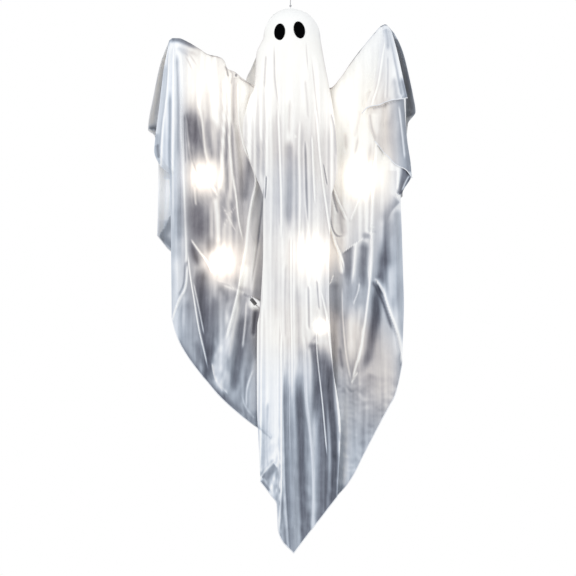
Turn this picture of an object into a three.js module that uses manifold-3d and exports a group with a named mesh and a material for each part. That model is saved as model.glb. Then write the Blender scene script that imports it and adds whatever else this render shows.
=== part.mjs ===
// A light-up hanging ghost: cloth over a wire frame, with a string of lamps inside.
// Millimetres, +Z up, the front faces -Y, left and right are as seen from the front.
// The origin is the top of the hanging loop's inside, where a hook carries the figure.
// Most heights are given as a drop below the crown of the head.
import * as THREE from "three";
import { mergeVertices } from "three/addons/utils/BufferGeometryUtils.js";
import Module from "manifold-3d";

const wasm = await Module();
wasm.setup();

// Driving dimensions
const fit = 0.3; // clearance between pieces that touch
const clothThickness = 1.6; // gauze with its small folds
const headRadius = 58;
const lineDiameter = 1.6;
const lineLength = 36;
const loopHeight = 32;
const loopWidth = 24;
const knotRadius = 2.6;
const eyeRingRadius = 2.8;
const eyeWire = 1.4;
const eyeShankDepth = 16;
const washerRadius = 11;
const washerThickness = 1.2;
const spineRadius = 3;
const hubDrop = 176; // centre of the neck hub
const hubSize = [46, 22, 28];
const frameWire = 3.5;
const wireDrop = 181; // where the shoulder wire crosses the hub
const elbowEyeRadius = 6;
const elbowEyeThickness = 3.6;
const rivetRadius = 2;
const rivetHeadRadius = 4;
const rivetHeadThickness = 1.2;
const handRadius = 9;
const globeRadius = 11;
const neckRadius = 3;
const neckLength = 4.5;
const socketRadius = 4.2;
const socketLength = 10;
const cordDiameter = 2.4;
const cordLift = 0.3; // daylight between a socket and the cord above it
const feltThickness = 1;
const cellRadius = 7.1;
const cellLength = 50.2;
const cellPitch = 15;
const caseWall = 2;
const springSpace = 6;
const coverThickness = 1.8;
const coverLip = 2.2;
const switchTravel = 3;
const screwRadius = 1.5;
const screwHeadRadius = 2.8;
const screwHeadThickness = 1.6;

// Sizes that follow
const crownDrop = loopHeight + knotRadius * 4 + lineLength + 2 * eyeRingRadius + 3 * eyeWire;
const headCentre = headRadius + clothThickness + 4 * fit;
const hoodRadius = headCentre - clothThickness / 2;
const lampRise = globeRadius + fit + socketLength + cordLift + cordDiameter / 2;
const half = (value) => value / 2;

// Colours
const gauze = { color: 0xdfe5ee, roughness: 0.85, metalness: 0 };
const foam = { color: 0xf4f2ec, roughness: 0.9, metalness: 0 };
const felt = { color: 0x0a0a0b, roughness: 0.95, metalness: 0 };
const coated = { color: 0xe9e9e6, roughness: 0.5, metalness: 0.1 };
const plastic = { color: 0xf0efeb, roughness: 0.45, metalness: 0 };
const steel = { color: 0xb9bcc0, roughness: 0.3, metalness: 1 };
const frosted = { color: 0xfff3d6, roughness: 0.35, metalness: 0 };
const black = { color: 0x1a1a1c, roughness: 0.4, metalness: 0 };
const strand = { color: 0xa9a9ad, roughness: 0.7, metalness: 0 };
const cellWrap = { color: 0x3d6b58, roughness: 0.4, metalness: 0.3 };

const ghost = new THREE.Group();

function add(name, geometry, look) {
  const mesh = new THREE.Mesh(geometry, new THREE.MeshStandardMaterial(look));
  mesh.name = name;
  ghost.add(mesh);
}

const height = (drop) => -crownDrop - drop;
const spot = (x, y, drop) => new THREE.Vector3(x, y, height(drop));
const mix = (a, b, t) => a + (b - a) * t;
const clamp = (t) => Math.min(1, Math.max(0, t));
const ease = (t) => clamp(t) ** 2 * (3 - 2 * clamp(t));

// Booleans
function toSolid(geometry) {
  const bare = geometry.index ? geometry.toNonIndexed() : geometry.clone();
  const places = new THREE.BufferGeometry().setAttribute("position", bare.getAttribute("position"));
  const merged = mergeVertices(places, 1e-4);
  const vertProperties = new Float32Array(merged.attributes.position.array);
  const triVerts = new Uint32Array(merged.index.array);
  return new wasm.Manifold(new wasm.Mesh({ numProp: 3, vertProperties, triVerts }));
}

function toGeometry(solid) {
  const { vertProperties, triVerts } = solid.getMesh();
  const geometry = new THREE.BufferGeometry();
  geometry.setAttribute("position", new THREE.BufferAttribute(vertProperties, 3));
  geometry.setIndex(new THREE.BufferAttribute(triVerts, 1));
  return geometry;
}

const join = (...shapes) => toGeometry(shapes.map(toSolid).reduce((a, b) => a.add(b)));
const cut = (body, ...tools) => toGeometry(tools.map(toSolid).reduce((a, b) => a.subtract(b), toSolid(body)));

// Plain shapes: blocks and rods placed by their centre
function block(width, depth, tall, centre) {
  return new THREE.BoxGeometry(width, depth, tall).translate(centre.x, centre.y, centre.z);
}

function rod(radius, length, axis, centre, sides = 16) {
  const shape = new THREE.CylinderGeometry(radius, radius, length, sides);
  if (axis === "x") shape.rotateZ(Math.PI / 2);
  if (axis === "z") shape.rotateX(Math.PI / 2);
  return shape.translate(centre.x, centre.y, centre.z);
}

function ball(radius, centre, across = 16, rings = 10) {
  return new THREE.SphereGeometry(radius, across, rings).translate(centre.x, centre.y, centre.z);
}

// A body turned about the upright line through centre, from [radius, rise] pairs
function turned(profile, centre, sides) {
  const points = profile.map(([radius, rise]) => new THREE.Vector2(radius, rise));
  return new THREE.LatheGeometry(points, sides).rotateX(Math.PI / 2).translate(centre.x, centre.y, centre.z);
}

function polygon(radius, sides) {
  const points = [];
  for (let i = 0; i < sides; i++) {
    const angle = (2 * Math.PI * i) / sides;
    points.push(new THREE.Vector2(radius * Math.cos(angle), radius * Math.sin(angle)));
  }
  return new THREE.Shape(points);
}

// A wire through points, with a fixed number of steps from each point to the next
function wire(points, diameter, sides, stepsBetween) {
  const path = new THREE.CatmullRomCurve3(points, false, "centripetal");
  path.getUtoTmapping = (u) => u;
  const steps = (points.length - 1) * stepsBetween;
  const options = { steps, extrudePath: path, bevelEnabled: false };
  return new THREE.ExtrudeGeometry(polygon(half(diameter), sides), options);
}

// A curve through rising [x, value] pairs that never overshoots them
function smoothLine(pairs) {
  const slope = (i) => (pairs[i + 1][1] - pairs[i][1]) / (pairs[i + 1][0] - pairs[i][0]);
  const tangents = pairs.map((_, i) => {
    if (i === 0) return slope(0);
    if (i === pairs.length - 1) return slope(i - 1);
    const before = slope(i - 1);
    const after = slope(i);
    return before * after <= 0 ? 0 : (2 * before * after) / (before + after);
  });
  return (x) => {
    if (x <= pairs[0][0]) return pairs[0][1];
    if (x >= pairs.at(-1)[0]) return pairs.at(-1)[1];
    const i = pairs.findIndex((pair) => x < pair[0]) - 1;
    const [x0, v0] = pairs[i];
    const [x1, v1] = pairs[i + 1];
    const span = x1 - x0;
    const t = (x - x0) / span;
    const lead = tangents[i] * span * t * (1 - t) ** 2 - tangents[i + 1] * span * t * t * (1 - t);
    return mix(v0, v1, ease(t)) + lead;
  };
}

// A closed shell of even thickness round a grid of points, point(column, row)
function shell(point, columns, rows, thickness) {
  const grid = [];
  for (let c = 0; c <= columns; c++) {
    grid.push([]);
    for (let r = 0; r <= rows; r++) grid[c].push(point(c / columns, r / rows, c, r));
  }
  const positions = [];
  const place = (c, r) => 2 * (c * (rows + 1) + r);
  for (let c = 0; c <= columns; c++) {
    for (let r = 0; r <= rows; r++) {
      const across = grid[Math.min(c + 1, columns)][r].clone().sub(grid[Math.max(c - 1, 0)][r]);
      const along = grid[c][Math.min(r + 1, rows)].clone().sub(grid[c][Math.max(r - 1, 0)]);
      const normal = across.cross(along).normalize().multiplyScalar(half(thickness));
      positions.push(...grid[c][r].clone().add(normal), ...grid[c][r].clone().sub(normal));
    }
  }
  const index = [];
  const quad = (a, b, c, d) => index.push(a, b, c, a, c, d);
  for (let c = 0; c < columns; c++) {
    for (let r = 0; r < rows; r++) {
      const corners = [place(c, r), place(c + 1, r), place(c + 1, r + 1), place(c, r + 1)];
      quad(...corners);
      quad(...corners.reverse().map((i) => i + 1));
    }
  }
  const border = [];
  for (let c = 0; c < columns; c++) border.push(place(c, 0));
  for (let r = 0; r < rows; r++) border.push(place(columns, r));
  for (let c = columns; c > 0; c--) border.push(place(c, rows));
  for (let r = rows; r > 0; r--) border.push(place(0, r));
  border.forEach((here, i) => {
    const next = border[(i + 1) % border.length];
    quad(next, here, here + 1, next + 1);
  });
  return facingOut(positions, index);
}

function facingOut(positions, index) {
  const corner = (i) => new THREE.Vector3().fromArray(positions, 3 * index[i]);
  let volume = 0;
  for (let i = 0; i < index.length; i += 3) volume += corner(i).dot(corner(i + 1).cross(corner(i + 2)));
  if (volume < 0) index.reverse();
  const geometry = new THREE.BufferGeometry();
  geometry.setAttribute("position", new THREE.Float32BufferAttribute(positions, 3));
  geometry.setIndex(index);
  return geometry;
}

// Hanging loop, line and knots
const eyeDrop = -(half(clothThickness) + eyeRingRadius + eyeWire);
const lineKnotDrop = eyeDrop - eyeRingRadius - half(eyeWire) - fit - knotRadius;

function hangingLoop() {
  const points = [];
  const turns = 20;
  const tall = half(loopHeight);
  for (let i = 0; i < turns; i++) {
    const angle = (2 * Math.PI * i) / turns;
    const narrow = 0.5 + 0.5 * Math.cos(angle / 2) ** 2;
    const x = half(loopWidth) * Math.sin(angle) * narrow;
    points.push(new THREE.Vector3(x, 0, half(lineDiameter) - tall + tall * Math.cos(angle)));
  }
  const path = new THREE.CatmullRomCurve3(points, true);
  const options = { steps: turns, extrudePath: path, bevelEnabled: false };
  return new THREE.ExtrudeGeometry(polygon(half(lineDiameter), 6), options);
}

add("hanging_loop", hangingLoop(), strand);
const loopFoot = -loopHeight - fit;
const lineTop = loopFoot - 2 * knotRadius - fit;
const lineFoot = height(lineKnotDrop - knotRadius - fit);
add("loop_knot", ball(knotRadius, new THREE.Vector3(0, 0, loopFoot - knotRadius), 10, 8), strand);
add(
  "hanging_line",
  rod(half(lineDiameter), lineTop - lineFoot, "z", new THREE.Vector3(0, 0, half(lineTop + lineFoot)), 8),
  strand,
);
add("line_knot", ball(knotRadius, spot(0, 0, lineKnotDrop), 10, 8), strand);

// Head: eye bolt, washer, ball and spine rod
const ballTop = headCentre - headRadius;
const shankFoot = ballTop + eyeShankDepth;
const washerDrop = ballTop + 3 * fit;
const spineFoot = wireDrop - half(frameWire) - 2 * fit - 1;

function crownEye() {
  const ring = new THREE.TorusGeometry(eyeRingRadius, half(eyeWire), 8, 16);
  const centre = spot(0, 0, eyeDrop);
  ring.rotateY(Math.PI / 2).translate(centre.x, centre.y, centre.z);
  const top = eyeDrop + eyeRingRadius;
  return join(ring, rod(half(eyeWire), shankFoot - top, "z", spot(0, 0, half(top + shankFoot)), 8));
}

add("crown_eye", crownEye(), steel);
const washerSeat = washerDrop + washerThickness;
const bore = (radius, from, to, sides) => rod(radius, to - from, "z", spot(0, 0, half(from + to)), sides);
add(
  "crown_washer",
  cut(bore(washerRadius, washerDrop, washerSeat, 20), bore(half(eyeWire) + fit, -5, washerSeat + 5, 8)),
  coated,
);
const spineTop = shankFoot - eyeShankDepth / 2;
add(
  "head_ball",
  cut(
    ball(headRadius, spot(0, 0, headCentre), 24, 14),
    bore(washerRadius + fit, ballTop - 5, washerSeat + fit, 20),
    bore(half(eyeWire) + fit, 0, spineTop, 8),
    bore(spineRadius + fit, spineTop - fit, headCentre + headRadius + 5, 12),
  ),
  foam,
);
add(
  "spine_rod",
  cut(
    bore(spineRadius, spineTop, spineFoot, 12),
    bore(half(eyeWire) + fit, spineTop - 5, shankFoot + fit, 8),
  ),
  coated,
);

// Neck hub in two halves with two long screws that also carry the battery case
const [hubWidth, hubDepth, hubTall] = hubSize;
const screwInset = 7;
const screwSpread = half(hubWidth) - screwInset;
const screwDrop = hubDrop - half(hubTall) + screwInset;
const caseFront = half(hubDepth) + fit;

const screwHole = (side) => {
  const centre = spot(side * screwSpread, 0, screwDrop);
  return rod(screwRadius + fit, 4 * hubDepth, "y", centre, 10);
};

function hubHalf(side) {
  const depth = half(hubDepth) - half(fit);
  const body = block(hubWidth, depth, hubTall, spot(0, side * half(depth + fit), hubDrop));
  const spineSlot = bore(spineRadius + fit, hubDrop - hubTall, spineFoot + fit, 12);
  const wireSlot = rod(half(frameWire) + 2 * fit, 2 * hubWidth, "x", spot(0, 0, wireDrop), 12);
  return cut(body, spineSlot, wireSlot, screwHole(-1), screwHole(1));
}

add("hub_front", hubHalf(-1), plastic);
add("hub_back", hubHalf(1), plastic);

function hubScrew(side) {
  const headFace = -half(hubDepth) - fit;
  const tip = caseFront + caseWall;
  const x = side * screwSpread;
  const head = spot(x, headFace - half(screwHeadThickness), screwDrop);
  return join(
    rod(screwRadius, tip - headFace, "y", spot(x, half(tip + headFace), screwDrop), 10),
    rod(screwHeadRadius, screwHeadThickness, "y", head, 12),
  );
}

add("hub_screw_left", hubScrew(-1), steel);
add("hub_screw_right", hubScrew(1), steel);

// Arm wires, elbow rivets and hand balls
const elbowLeft = [-155, 133];
const elbowRight = [123, 152.5];
const handLeft = [-250, 77];
const handRight = [204, 50];
const eyeLayer = half(elbowEyeThickness) + fit;
const shoulderRoute = [
  [elbowLeft[0] + 4, -eyeLayer, elbowLeft[1] + 3],
  [-140, 0, 146],
  [-124, 0, 152],
  [-106, 0, 164],
  [-83, 0, 176],
  [-52, 0, 181],
  [-26, 0, wireDrop],
  [26, 0, wireDrop],
  [60, 0, 184],
  [90, 0, 181],
  [109, 0, 169],
  [elbowRight[0] - 2.5, -eyeLayer, elbowRight[1] + 5],
];
const forearmLeftRoute = [
  [elbowLeft[0] - 4, eyeLayer, elbowLeft[1] - 3],
  [-168, 0, 116],
  [-184, 0, 106],
  [-205, 0, 92.4],
  [-228, 0, 79],
  [handLeft[0] + 3, 0, handLeft[1]],
];
const forearmRightRoute = [
  [elbowRight[0] + 3, eyeLayer, elbowRight[1] - 4],
  [136, 0, 130],
  [160, 0, 94],
  [186, 0, 63],
  [handRight[0] - 2, 0, handRight[1] + 2],
];
const through = (route) => route.map(([x, y, drop]) => spot(x, y, drop));

function elbowEye([x, drop], side) {
  const centre = spot(x, side * eyeLayer, drop);
  return rod(elbowEyeRadius, elbowEyeThickness, "y", centre, 20);
}

const elbowHole = ([x, drop]) => rod(rivetRadius + fit, 6 * elbowEyeThickness, "y", spot(x, 0, drop), 16);

function shoulderWire() {
  const bar = wire(through(shoulderRoute), frameWire, 8, 2);
  const body = join(bar, elbowEye(elbowLeft, -1), elbowEye(elbowRight, -1));
  return cut(body, elbowHole(elbowLeft), elbowHole(elbowRight));
}

function elbowRivet([x, drop]) {
  const reach = elbowEyeThickness + 2 * fit;
  const headCentreY = reach + half(rivetHeadThickness);
  return join(
    rod(rivetRadius, 2 * reach + fit, "y", spot(x, 0, drop), 16),
    rod(rivetHeadRadius, rivetHeadThickness, "y", spot(x, headCentreY, drop), 16),
    rod(rivetHeadRadius, rivetHeadThickness, "y", spot(x, -headCentreY, drop), 16),
  );
}

function addArm(side, route, elbow, [handX, handDrop]) {
  const arm = wire(through(route), frameWire, 8, 2);
  const end = route.at(-1).map((value, i) => value + (i ? 0 : Math.sign(handX) * fit));
  const bedding = wire(through([...route.slice(0, -1), end]), frameWire + 2 * fit, 8, 2);
  add("forearm_wire_" + side, cut(join(arm, elbowEye(elbow, 1)), elbowHole(elbow)), coated);
  add("elbow_rivet_" + side, elbowRivet(elbow), steel);
  add("hand_ball_" + side, cut(ball(handRadius, spot(handX, 0, handDrop)), bedding), foam);
}

add("shoulder_wire", shoulderWire(), coated);
addArm("left", forearmLeftRoute, elbowLeft, handLeft);
addArm("right", forearmRightRoute, elbowRight, handRight);

// Cloth. Each panel hangs from a top curve to a hem. Its lines run down it in order, each with
// its x at the top, half way and at the hem, and how far it stands out (+) or lies in (-).
const foldStart = 130; // a fold has its full depth this far below the top
const drapeDepth = 30;
const drapeSpread = 22;

const ridge = smoothLine([
  [-268, 70],
  [-262, 65.5],
  [-248, 66],
  [-227.5, 74.6],
  [-204, 88.3],
  [-184, 101.7],
  [-156.5, 108.4],
  [-148, 115.2],
  [-140, 133.7],
  [-124.7, 140.3],
  [-106, 155.8],
  [-83, 169],
  [-34, 176],
  [34, 178],
  [88, 176.5],
  [112.5, 151.8],
  [132, 123.6],
  [160, 86.7],
  [188, 53.2],
  [202, 39],
  [211, 35.3],
  [223.5, 46.3],
  [230, 54],
]);

const alongLine = ([top, middle, hem], t) =>
  top * (1 - t) * (1 - 2 * t) + 4 * middle * t * (1 - t) + hem * t * (2 * t - 1);

// Where a column lies: between line i and the next, a share f across
function linesAt(lines, u) {
  const i = Math.min(Math.floor(u * (lines.length - 1)), lines.length - 2);
  return [lines[i], lines[i + 1], u * (lines.length - 1) - i];
}

// The two hands push the gown out round them
function handBulge(x, drop) {
  return [handLeft, handRight].reduce((most, [handX, handDrop]) => {
    const reach = handRadius + clothThickness + 4;
    const clear = reach ** 2 - (x - handX) ** 2 - (drop - handDrop) ** 2;
    return Math.max(most, clear > 0 ? Math.sqrt(clear) : 0);
  }, 0);
}

function gownPanel(panel, side) {
  return (u, v) => {
    const [a, b, f] = linesAt(panel.lines, u);
    const t = v ** 1.5;
    const top = ridge(mix(a[0], b[0], f));
    const hem = panel.hem(mix(a[2], b[2], f));
    const drop = mix(top, hem, t);
    const lineX = (line) => (line === panel.lines[0] ? panel.edge(drop) : alongLine(line, t));
    const x = mix(lineX(a), lineX(b), f);
    const down = drop - top;
    const drape = half(clothThickness) + 2 * fit + drapeDepth * (1 - Math.exp(-down / drapeSpread));
    const fold = mix(a[3], b[3], ease(f)) * ease((down - 20) / foldStart);
    return spot(x, side * Math.max(drape + fold, handBulge(x, drop)), drop);
  };
}

const gownLeftFront = {
  edge: smoothLine([
    [70, -268],
    [125, -281],
    [215, -292],
    [287, -301],
    [312, -303],
    [345, -290],
    [366, -268],
    [566, -265],
    [681, -264],
  ]),
  hem: smoothLine([
    [-264, 681],
    [-260, 696],
    [-240, 748],
    [-200, 805],
    [-142, 871],
    [-87, 916],
    [-44, 944],
    [-8, 960],
  ]),
  lines: [
    [-268, -284, -264, 0],
    [-257, -255, -257, 10],
    [-245, -241, -234, -6],
    [-234, -229, -196, 12],
    [-205, -187, -182, -8],
    [-150, -118, -164, 11],
    [-126, -102, -130, -6],
    [-106, -86, -92, 9],
    [-74, -60, -60, -6],
    [-34, -26, -8, 0],
  ],
};

const gownRightFront = {
  edge: smoothLine([
    [54, 230],
    [94, 243],
    [187, 255],
    [251, 254],
    [288, 258.6],
    [366, 269],
    [400, 251],
    [415, 245],
    [480, 247],
    [575, 250],
    [655, 252],
    [712, 250.5],
    [785, 248],
  ]),
  hem: smoothLine([
    [8, 1197],
    [47.4, 1146.6],
    [93, 1089],
    [131, 1043],
    [169, 972],
    [219.6, 875],
    [229, 858.6],
    [242.7, 811],
    [248, 785],
  ]),
  lines: [
    [230, 250, 248, 0],
    [219, 222, 208, 6],
    [210, 199, 172, -9],
    [200, 178, 134, 13],
    [166, 144, 98, -8],
    [140, 121, 74, 8],
    [112, 97, 52, -6],
    [82, 66, 30, 5],
    [34, 26, 9, 0],
  ],
};

const gownLeftBack = {
  edge: smoothLine([
    [70, -268],
    [123, -286],
    [180, -300],
    [264, -316],
    [277, -301],
    [330, -292],
    [427, -293],
    [499, -294.6],
  ]),
  hem: smoothLine([
    [-294.6, 499],
    [-267, 535],
    [-167, 588],
    [-63, 650],
    [-10, 690],
  ]),
  lines: [
    [-268, -296, -294.6, 0],
    [-250, -256, -262, 6],
    [-225, -228, -236, -6],
    [-190, -195, -200, 8],
    [-155, -155, -160, -6],
    [-115, -118, -120, 7],
    [-75, -80, -80, -5],
    [-36, -34, -12, 0],
  ],
};

const gownRightBack = {
  edge: smoothLine([
    [54, 230],
    [94, 248],
    [147, 260.4],
    [187, 269],
    [224, 276],
    [251, 257],
    [300, 253],
    [412, 246],
  ]),
  hem: smoothLine([
    [12, 690],
    [82, 623],
    [98, 533],
    [160, 485],
    [246, 412],
  ]),
  lines: [
    [230, 262, 246, 0],
    [214, 220, 224, 6],
    [192, 194, 198, -6],
    [165, 166, 170, 8],
    [132, 133, 138, -6],
    [98, 100, 104, 7],
    [36, 35, 14, 0],
  ],
};

add("gown_left_front", shell(gownPanel(gownLeftFront, -1), 27, 14, clothThickness), gauze);
add("gown_right_front", shell(gownPanel(gownRightFront, -1), 24, 15, clothThickness), gauze);
add("gown_left_back", shell(gownPanel(gownLeftBack, 1), 21, 10, clothThickness), gauze);
add("gown_right_back", shell(gownPanel(gownRightBack, 1), 18, 10, clothThickness), gauze);

// The veil is a hood round the head and falls in front of and behind the gown. Plan sections
// are half ellipses down to the neck, and then turn into lines like the gown's.
const hoodTopAngle = 0.06;
const hoodRows = 7;
const neckStart = headCentre + 10;
const neckEnd = 170;
const seamGap = fit;

function veilPanel(panel, side, rows) {
  const width = (sign, drop) => (sign < 0 ? -panel.edgeLeft(drop) : panel.edgeRight(drop));
  const angleOf = (line) => {
    if (line === panel.lines[0]) return -half(Math.PI);
    if (line === panel.lines.at(-1)) return half(Math.PI);
    return Math.asin(line[0] / width(line[0], neckEnd));
  };
  const seam = half(clothThickness + seamGap);
  return (u, v, column, row) => {
    const [a, b, f] = linesAt(panel.lines, u);
    const turn = mix(angleOf(a), angleOf(b), f);
    if (row < hoodRows) {
      const polar = mix(hoodTopAngle, half(Math.PI), row / (hoodRows - 1));
      const ring = hoodRadius * Math.sin(polar);
      const y = Math.max(ring * Math.cos(turn), seam);
      return spot(ring * Math.sin(turn), side * y, headCentre - hoodRadius * Math.cos(polar));
    }
    const t = ((row - hoodRows + 1) / (rows - hoodRows + 1)) ** 1.25;
    const endX = mix(a[2], b[2], f);
    const drop = mix(headCentre, panel.hem(endX), t);
    const lineX = (line) => {
      if (line === panel.lines[0]) return panel.edgeLeft(drop);
      if (line === panel.lines.at(-1)) return panel.edgeRight(drop);
      return alongLine(line, t);
    };
    const flat = ease((drop - neckStart) / (neckEnd - neckStart));
    const x = mix(width(turn, drop) * Math.sin(turn), mix(lineX(a), lineX(b), f), flat);
    const middle = panel.depth(drop);
    const edge = panel.edgeDepth(drop);
    const round = edge + (middle - edge) * Math.cos(turn) ** mix(1, 0.6, flat);
    const fold = mix(a[3], b[3], ease(f)) * ease((drop - neckStart) / foldStart);
    return spot(x, side * Math.max(round + fold, seam), drop);
  };
}

const veilFront = {
  edgeLeft: smoothLine([
    [headCentre, -hoodRadius],
    [96, -76],
    [169, -80.5],
    [200, -92],
    [268, -105],
    [330, -91.6],
    [365, -79],
    [423, -60],
    [531, -58],
    [649, -64],
    [776, -67],
    [921, -69.5],
    [1043, -66],
  ]),
  edgeRight: smoothLine([
    [headCentre, hoodRadius],
    [76, 66],
    [125, 76],
    [171, 85],
    [265, 99],
    [357, 103],
    [420, 90],
    [620, 85],
    [776, 92],
    [920, 110],
    [1076, 103],
  ]),
  hem: smoothLine([
    [-66, 1043],
    [-40, 1076],
    [-30, 1092],
    [-27, 1148],
    [-18, 1172],
    [7, 1199.5],
    [47, 1147],
    [93, 1089],
    [103, 1076],
  ]),
  depth: smoothLine([
    [headCentre, hoodRadius],
    [120, 62],
    [200, 64],
    [300, 68],
  ]),
  edgeDepth: smoothLine([
    [headCentre, 0],
    [100, 2],
    [169, 18],
    [200, 36],
    [260, 56],
    [320, 60],
  ]),
  lines: [
    [-80, -64, -66, 0],
    [-62, -45, -52, 7],
    [-40, -29, -34, -4],
    [-22, -14, -19, 5],
    [-8, -3, -6, -6],
    [6, 9, 6, 3],
    [22, 23, 18, -6],
    [37, 44, 34, 8],
    [50, 58, 50, -5],
    [62, 68, 66, 5],
    [72, 78, 84, -6],
    [85, 90, 103, 0],
  ],
};

const veilBack = {
  edgeLeft: smoothLine([
    [headCentre, -hoodRadius],
    [96, -78],
    [125, -90],
    [155, -99.5],
    [200, -101],
    [300, -92],
    [500, -74],
    [905, -62],
  ]),
  edgeRight: smoothLine([
    [headCentre, hoodRadius],
    [76, 66],
    [125, 76],
    [171, 85],
    [300, 91],
    [500, 86],
    [905, 80],
  ]),
  hem: smoothLine([
    [-62, 905],
    [-20, 985],
    [12, 1040],
    [45, 990],
    [80, 905],
  ]),
  depth: smoothLine([
    [headCentre, hoodRadius],
    [120, 62],
    [200, 66],
    [300, 70],
  ]),
  edgeDepth: smoothLine([
    [headCentre, 0],
    [100, 2],
    [155, 16],
    [200, 40],
    [260, 56],
    [320, 60],
  ]),
  lines: [
    [-90, -70, -62, 0],
    [-62, -52, -44, 6],
    [-36, -32, -26, -5],
    [-10, -9, -6, 7],
    [18, 16, 14, -5],
    [44, 40, 36, 6],
    [66, 62, 58, -5],
    [84, 85, 80, 0],
  ],
};

add("head_veil_front", shell(veilPanel(veilFront, -1, 17), 33, 17, clothThickness), gauze);
add("head_veil_back", shell(veilPanel(veilBack, 1, 14), 21, 14, clothThickness), gauze);

// Felt eyes, laid on the hood
const eyeLeft = { x: -24, drop: 51.5, halfWidth: 12.3, halfHeight: 19.2, lean: 0.05 };
const eyeRight = { x: 19.6, drop: 47.2, halfWidth: 12.1, halfHeight: 19.4, lean: -0.2 };

function hoodFront(x, drop) {
  const reach = drop < headCentre ? Math.sqrt(hoodRadius ** 2 - (headCentre - drop) ** 2) : 0;
  const wide = drop < headCentre ? reach : x < 0 ? -veilFront.edgeLeft(drop) : veilFront.edgeRight(drop);
  const deep = drop < headCentre ? reach : veilFront.depth(drop);
  return -deep * Math.sqrt(1 - (x / wide) ** 2);
}

function feltEye(eye) {
  const lift = half(clothThickness) + half(feltThickness) + 1.5 * fit;
  return shell(
    (u, v) => {
      const [p, q] = [2 * u - 1, 2 * v - 1];
      const across = eye.halfWidth * p * Math.sqrt(1 - half(q * q));
      const up = eye.halfHeight * q * Math.sqrt(1 - half(p * p));
      const x = eye.x + across * Math.cos(eye.lean) + up * Math.sin(eye.lean);
      const drop = eye.drop - up * Math.cos(eye.lean) + across * Math.sin(eye.lean);
      const y = hoodFront(x, drop);
      const out = new THREE.Vector3(x, y, headCentre - drop).normalize().multiplyScalar(lift);
      return spot(x + out.x, y + out.y, drop - out.z);
    },
    6,
    8,
    feltThickness,
  );
}

add("eye_left", feltEye(eyeLeft), felt);
add("eye_right", feltEye(eyeRight), felt);

// Lamps: each hangs under the cord by its socket
const lamps = [
  { x: -2, y: -24, drop: 152 },
  { x: -97, y: -6, drop: 205 },
  { x: -186, y: -6, drop: 170 },
  { x: -183, y: -4, drop: 374 },
  { x: -138, y: -4, drop: 551 },
  { x: -20, y: -4, drop: 712 },
  { x: 50, y: -4, drop: 732 },
  { x: 56, y: -4, drop: 533 },
  { x: 142, y: -4, drop: 385 },
  { x: 120, y: -6, drop: 194 },
];

function globe({ x, y, drop }) {
  const profile = [[0, -globeRadius]];
  const bands = 5;
  const collar = Math.asin(neckRadius / globeRadius);
  for (let i = 1; i <= bands; i++) {
    const angle = ((Math.PI - collar) * i) / bands;
    profile.push([globeRadius * Math.sin(angle), -globeRadius * Math.cos(angle)]);
  }
  profile.push([neckRadius, globeRadius + neckLength], [0, globeRadius + neckLength]);
  return turned(profile, spot(x, y, drop), 10);
}

function socket({ x, y, drop }) {
  const boreRadius = neckRadius + 2 * fit;
  const foot = globeRadius + fit;
  const roof = globeRadius + neckLength + fit;
  const crown = foot + socketLength;
  const profile = [
    [0, roof],
    [boreRadius, roof],
    [boreRadius, foot],
    [socketRadius, foot],
    [socketRadius, crown - 2],
    [half(socketRadius), crown],
    [0, crown],
  ];
  return turned(profile, spot(x, y, drop), 8);
}

lamps.forEach((lamp, i) => {
  const number = String(i + 1).padStart(2, "0");
  add("light_globe_" + number, globe(lamp), frosted);
  add("lamp_socket_" + number, socket(lamp), plastic);
});

// The battery case's sizes, which also place the cord's grommet
const bayWidth = 3 * cellPitch;
const bayTall = cellLength + 2 * springSpace;
const bayDepth = 2 * cellRadius + 2 * fit;
const caseWidth = bayWidth + 2 * caseWall + 2 * coverLip;
const caseTall = bayTall + 2 * caseWall;
const caseDepth = caseWall + bayDepth + coverThickness + 2 * fit + 1.2;
const caseTopDrop = hubDrop - half(hubTall) - 2;
const caseMiddle = caseTopDrop + half(caseTall);
const caseY = caseFront + half(caseDepth);
const bayY = caseFront + caseWall + half(bayDepth);
const coverY = caseFront + caseWall + bayDepth + fit + half(coverThickness);
const coverWidth = bayWidth + 2 * coverLip - 2 * fit;
const coverTall = caseTall - caseWall - fit;

// Light cord: one strand from the grommet over every socket
const cordPass = 5;
const over = (lamp, side) => [lamp.x + side * cordPass, lamp.y, lamp.drop - lampRise];
const grommetReach = 3;
const grommetRadius = 2.3;
const grommetPlace = [-half(caseWidth) - grommetReach - fit, 20, 172];
const cordRoute = [
  grommetPlace,
  [grommetPlace[0] - 3, 20, 172],
  [-42, 14, 164],
  [-36, -4, 142],
  over(lamps[0], -1),
  over(lamps[0], 1),
  [12, -30, 160],
  [-12, -26, 186],
  [-27, -9, 182.5],
  [-29.4, -4.4, 181.4],
  [-34, -4.4, 182],
  [-50, -8, 192],
  over(lamps[1], 1),
  over(lamps[1], -1),
  [-122, -8, 178],
  over(lamps[2], 1),
  over(lamps[2], -1),
  [-206, -6, 180],
  [-206, -5, 290],
  over(lamps[3], -1),
  over(lamps[3], 1),
  [-156, -4, 400],
  [-158, -4, 500],
  over(lamps[4], -1),
  over(lamps[4], 1),
  [-112, -5, 570],
  [-87, -10, 642],
  [-78, -10, 653],
  [-52, -6, 676],
  over(lamps[5], -1),
  over(lamps[5], 1),
  over(lamps[6], -1),
  over(lamps[6], 1),
  [80, -4, 716],
  [84, -4, 570],
  over(lamps[7], 1),
  over(lamps[7], -1),
  [46, -4, 456],
  over(lamps[8], -1),
  over(lamps[8], 1),
  [168, -4, 340],
  over(lamps[9], 1),
  over(lamps[9], -1),
];
add("light_cord", wire(through(cordRoute), cordDiameter, 8, 2), plastic);

// Dark clip on the cord, between its two neighbouring route points
const clipSize = [17, 7, 8];
const clipAt = cordRoute.findIndex(([, , drop]) => drop === 642);
const clipFrom = cordRoute[clipAt];
const clipTo = cordRoute[clipAt + 1];

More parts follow.
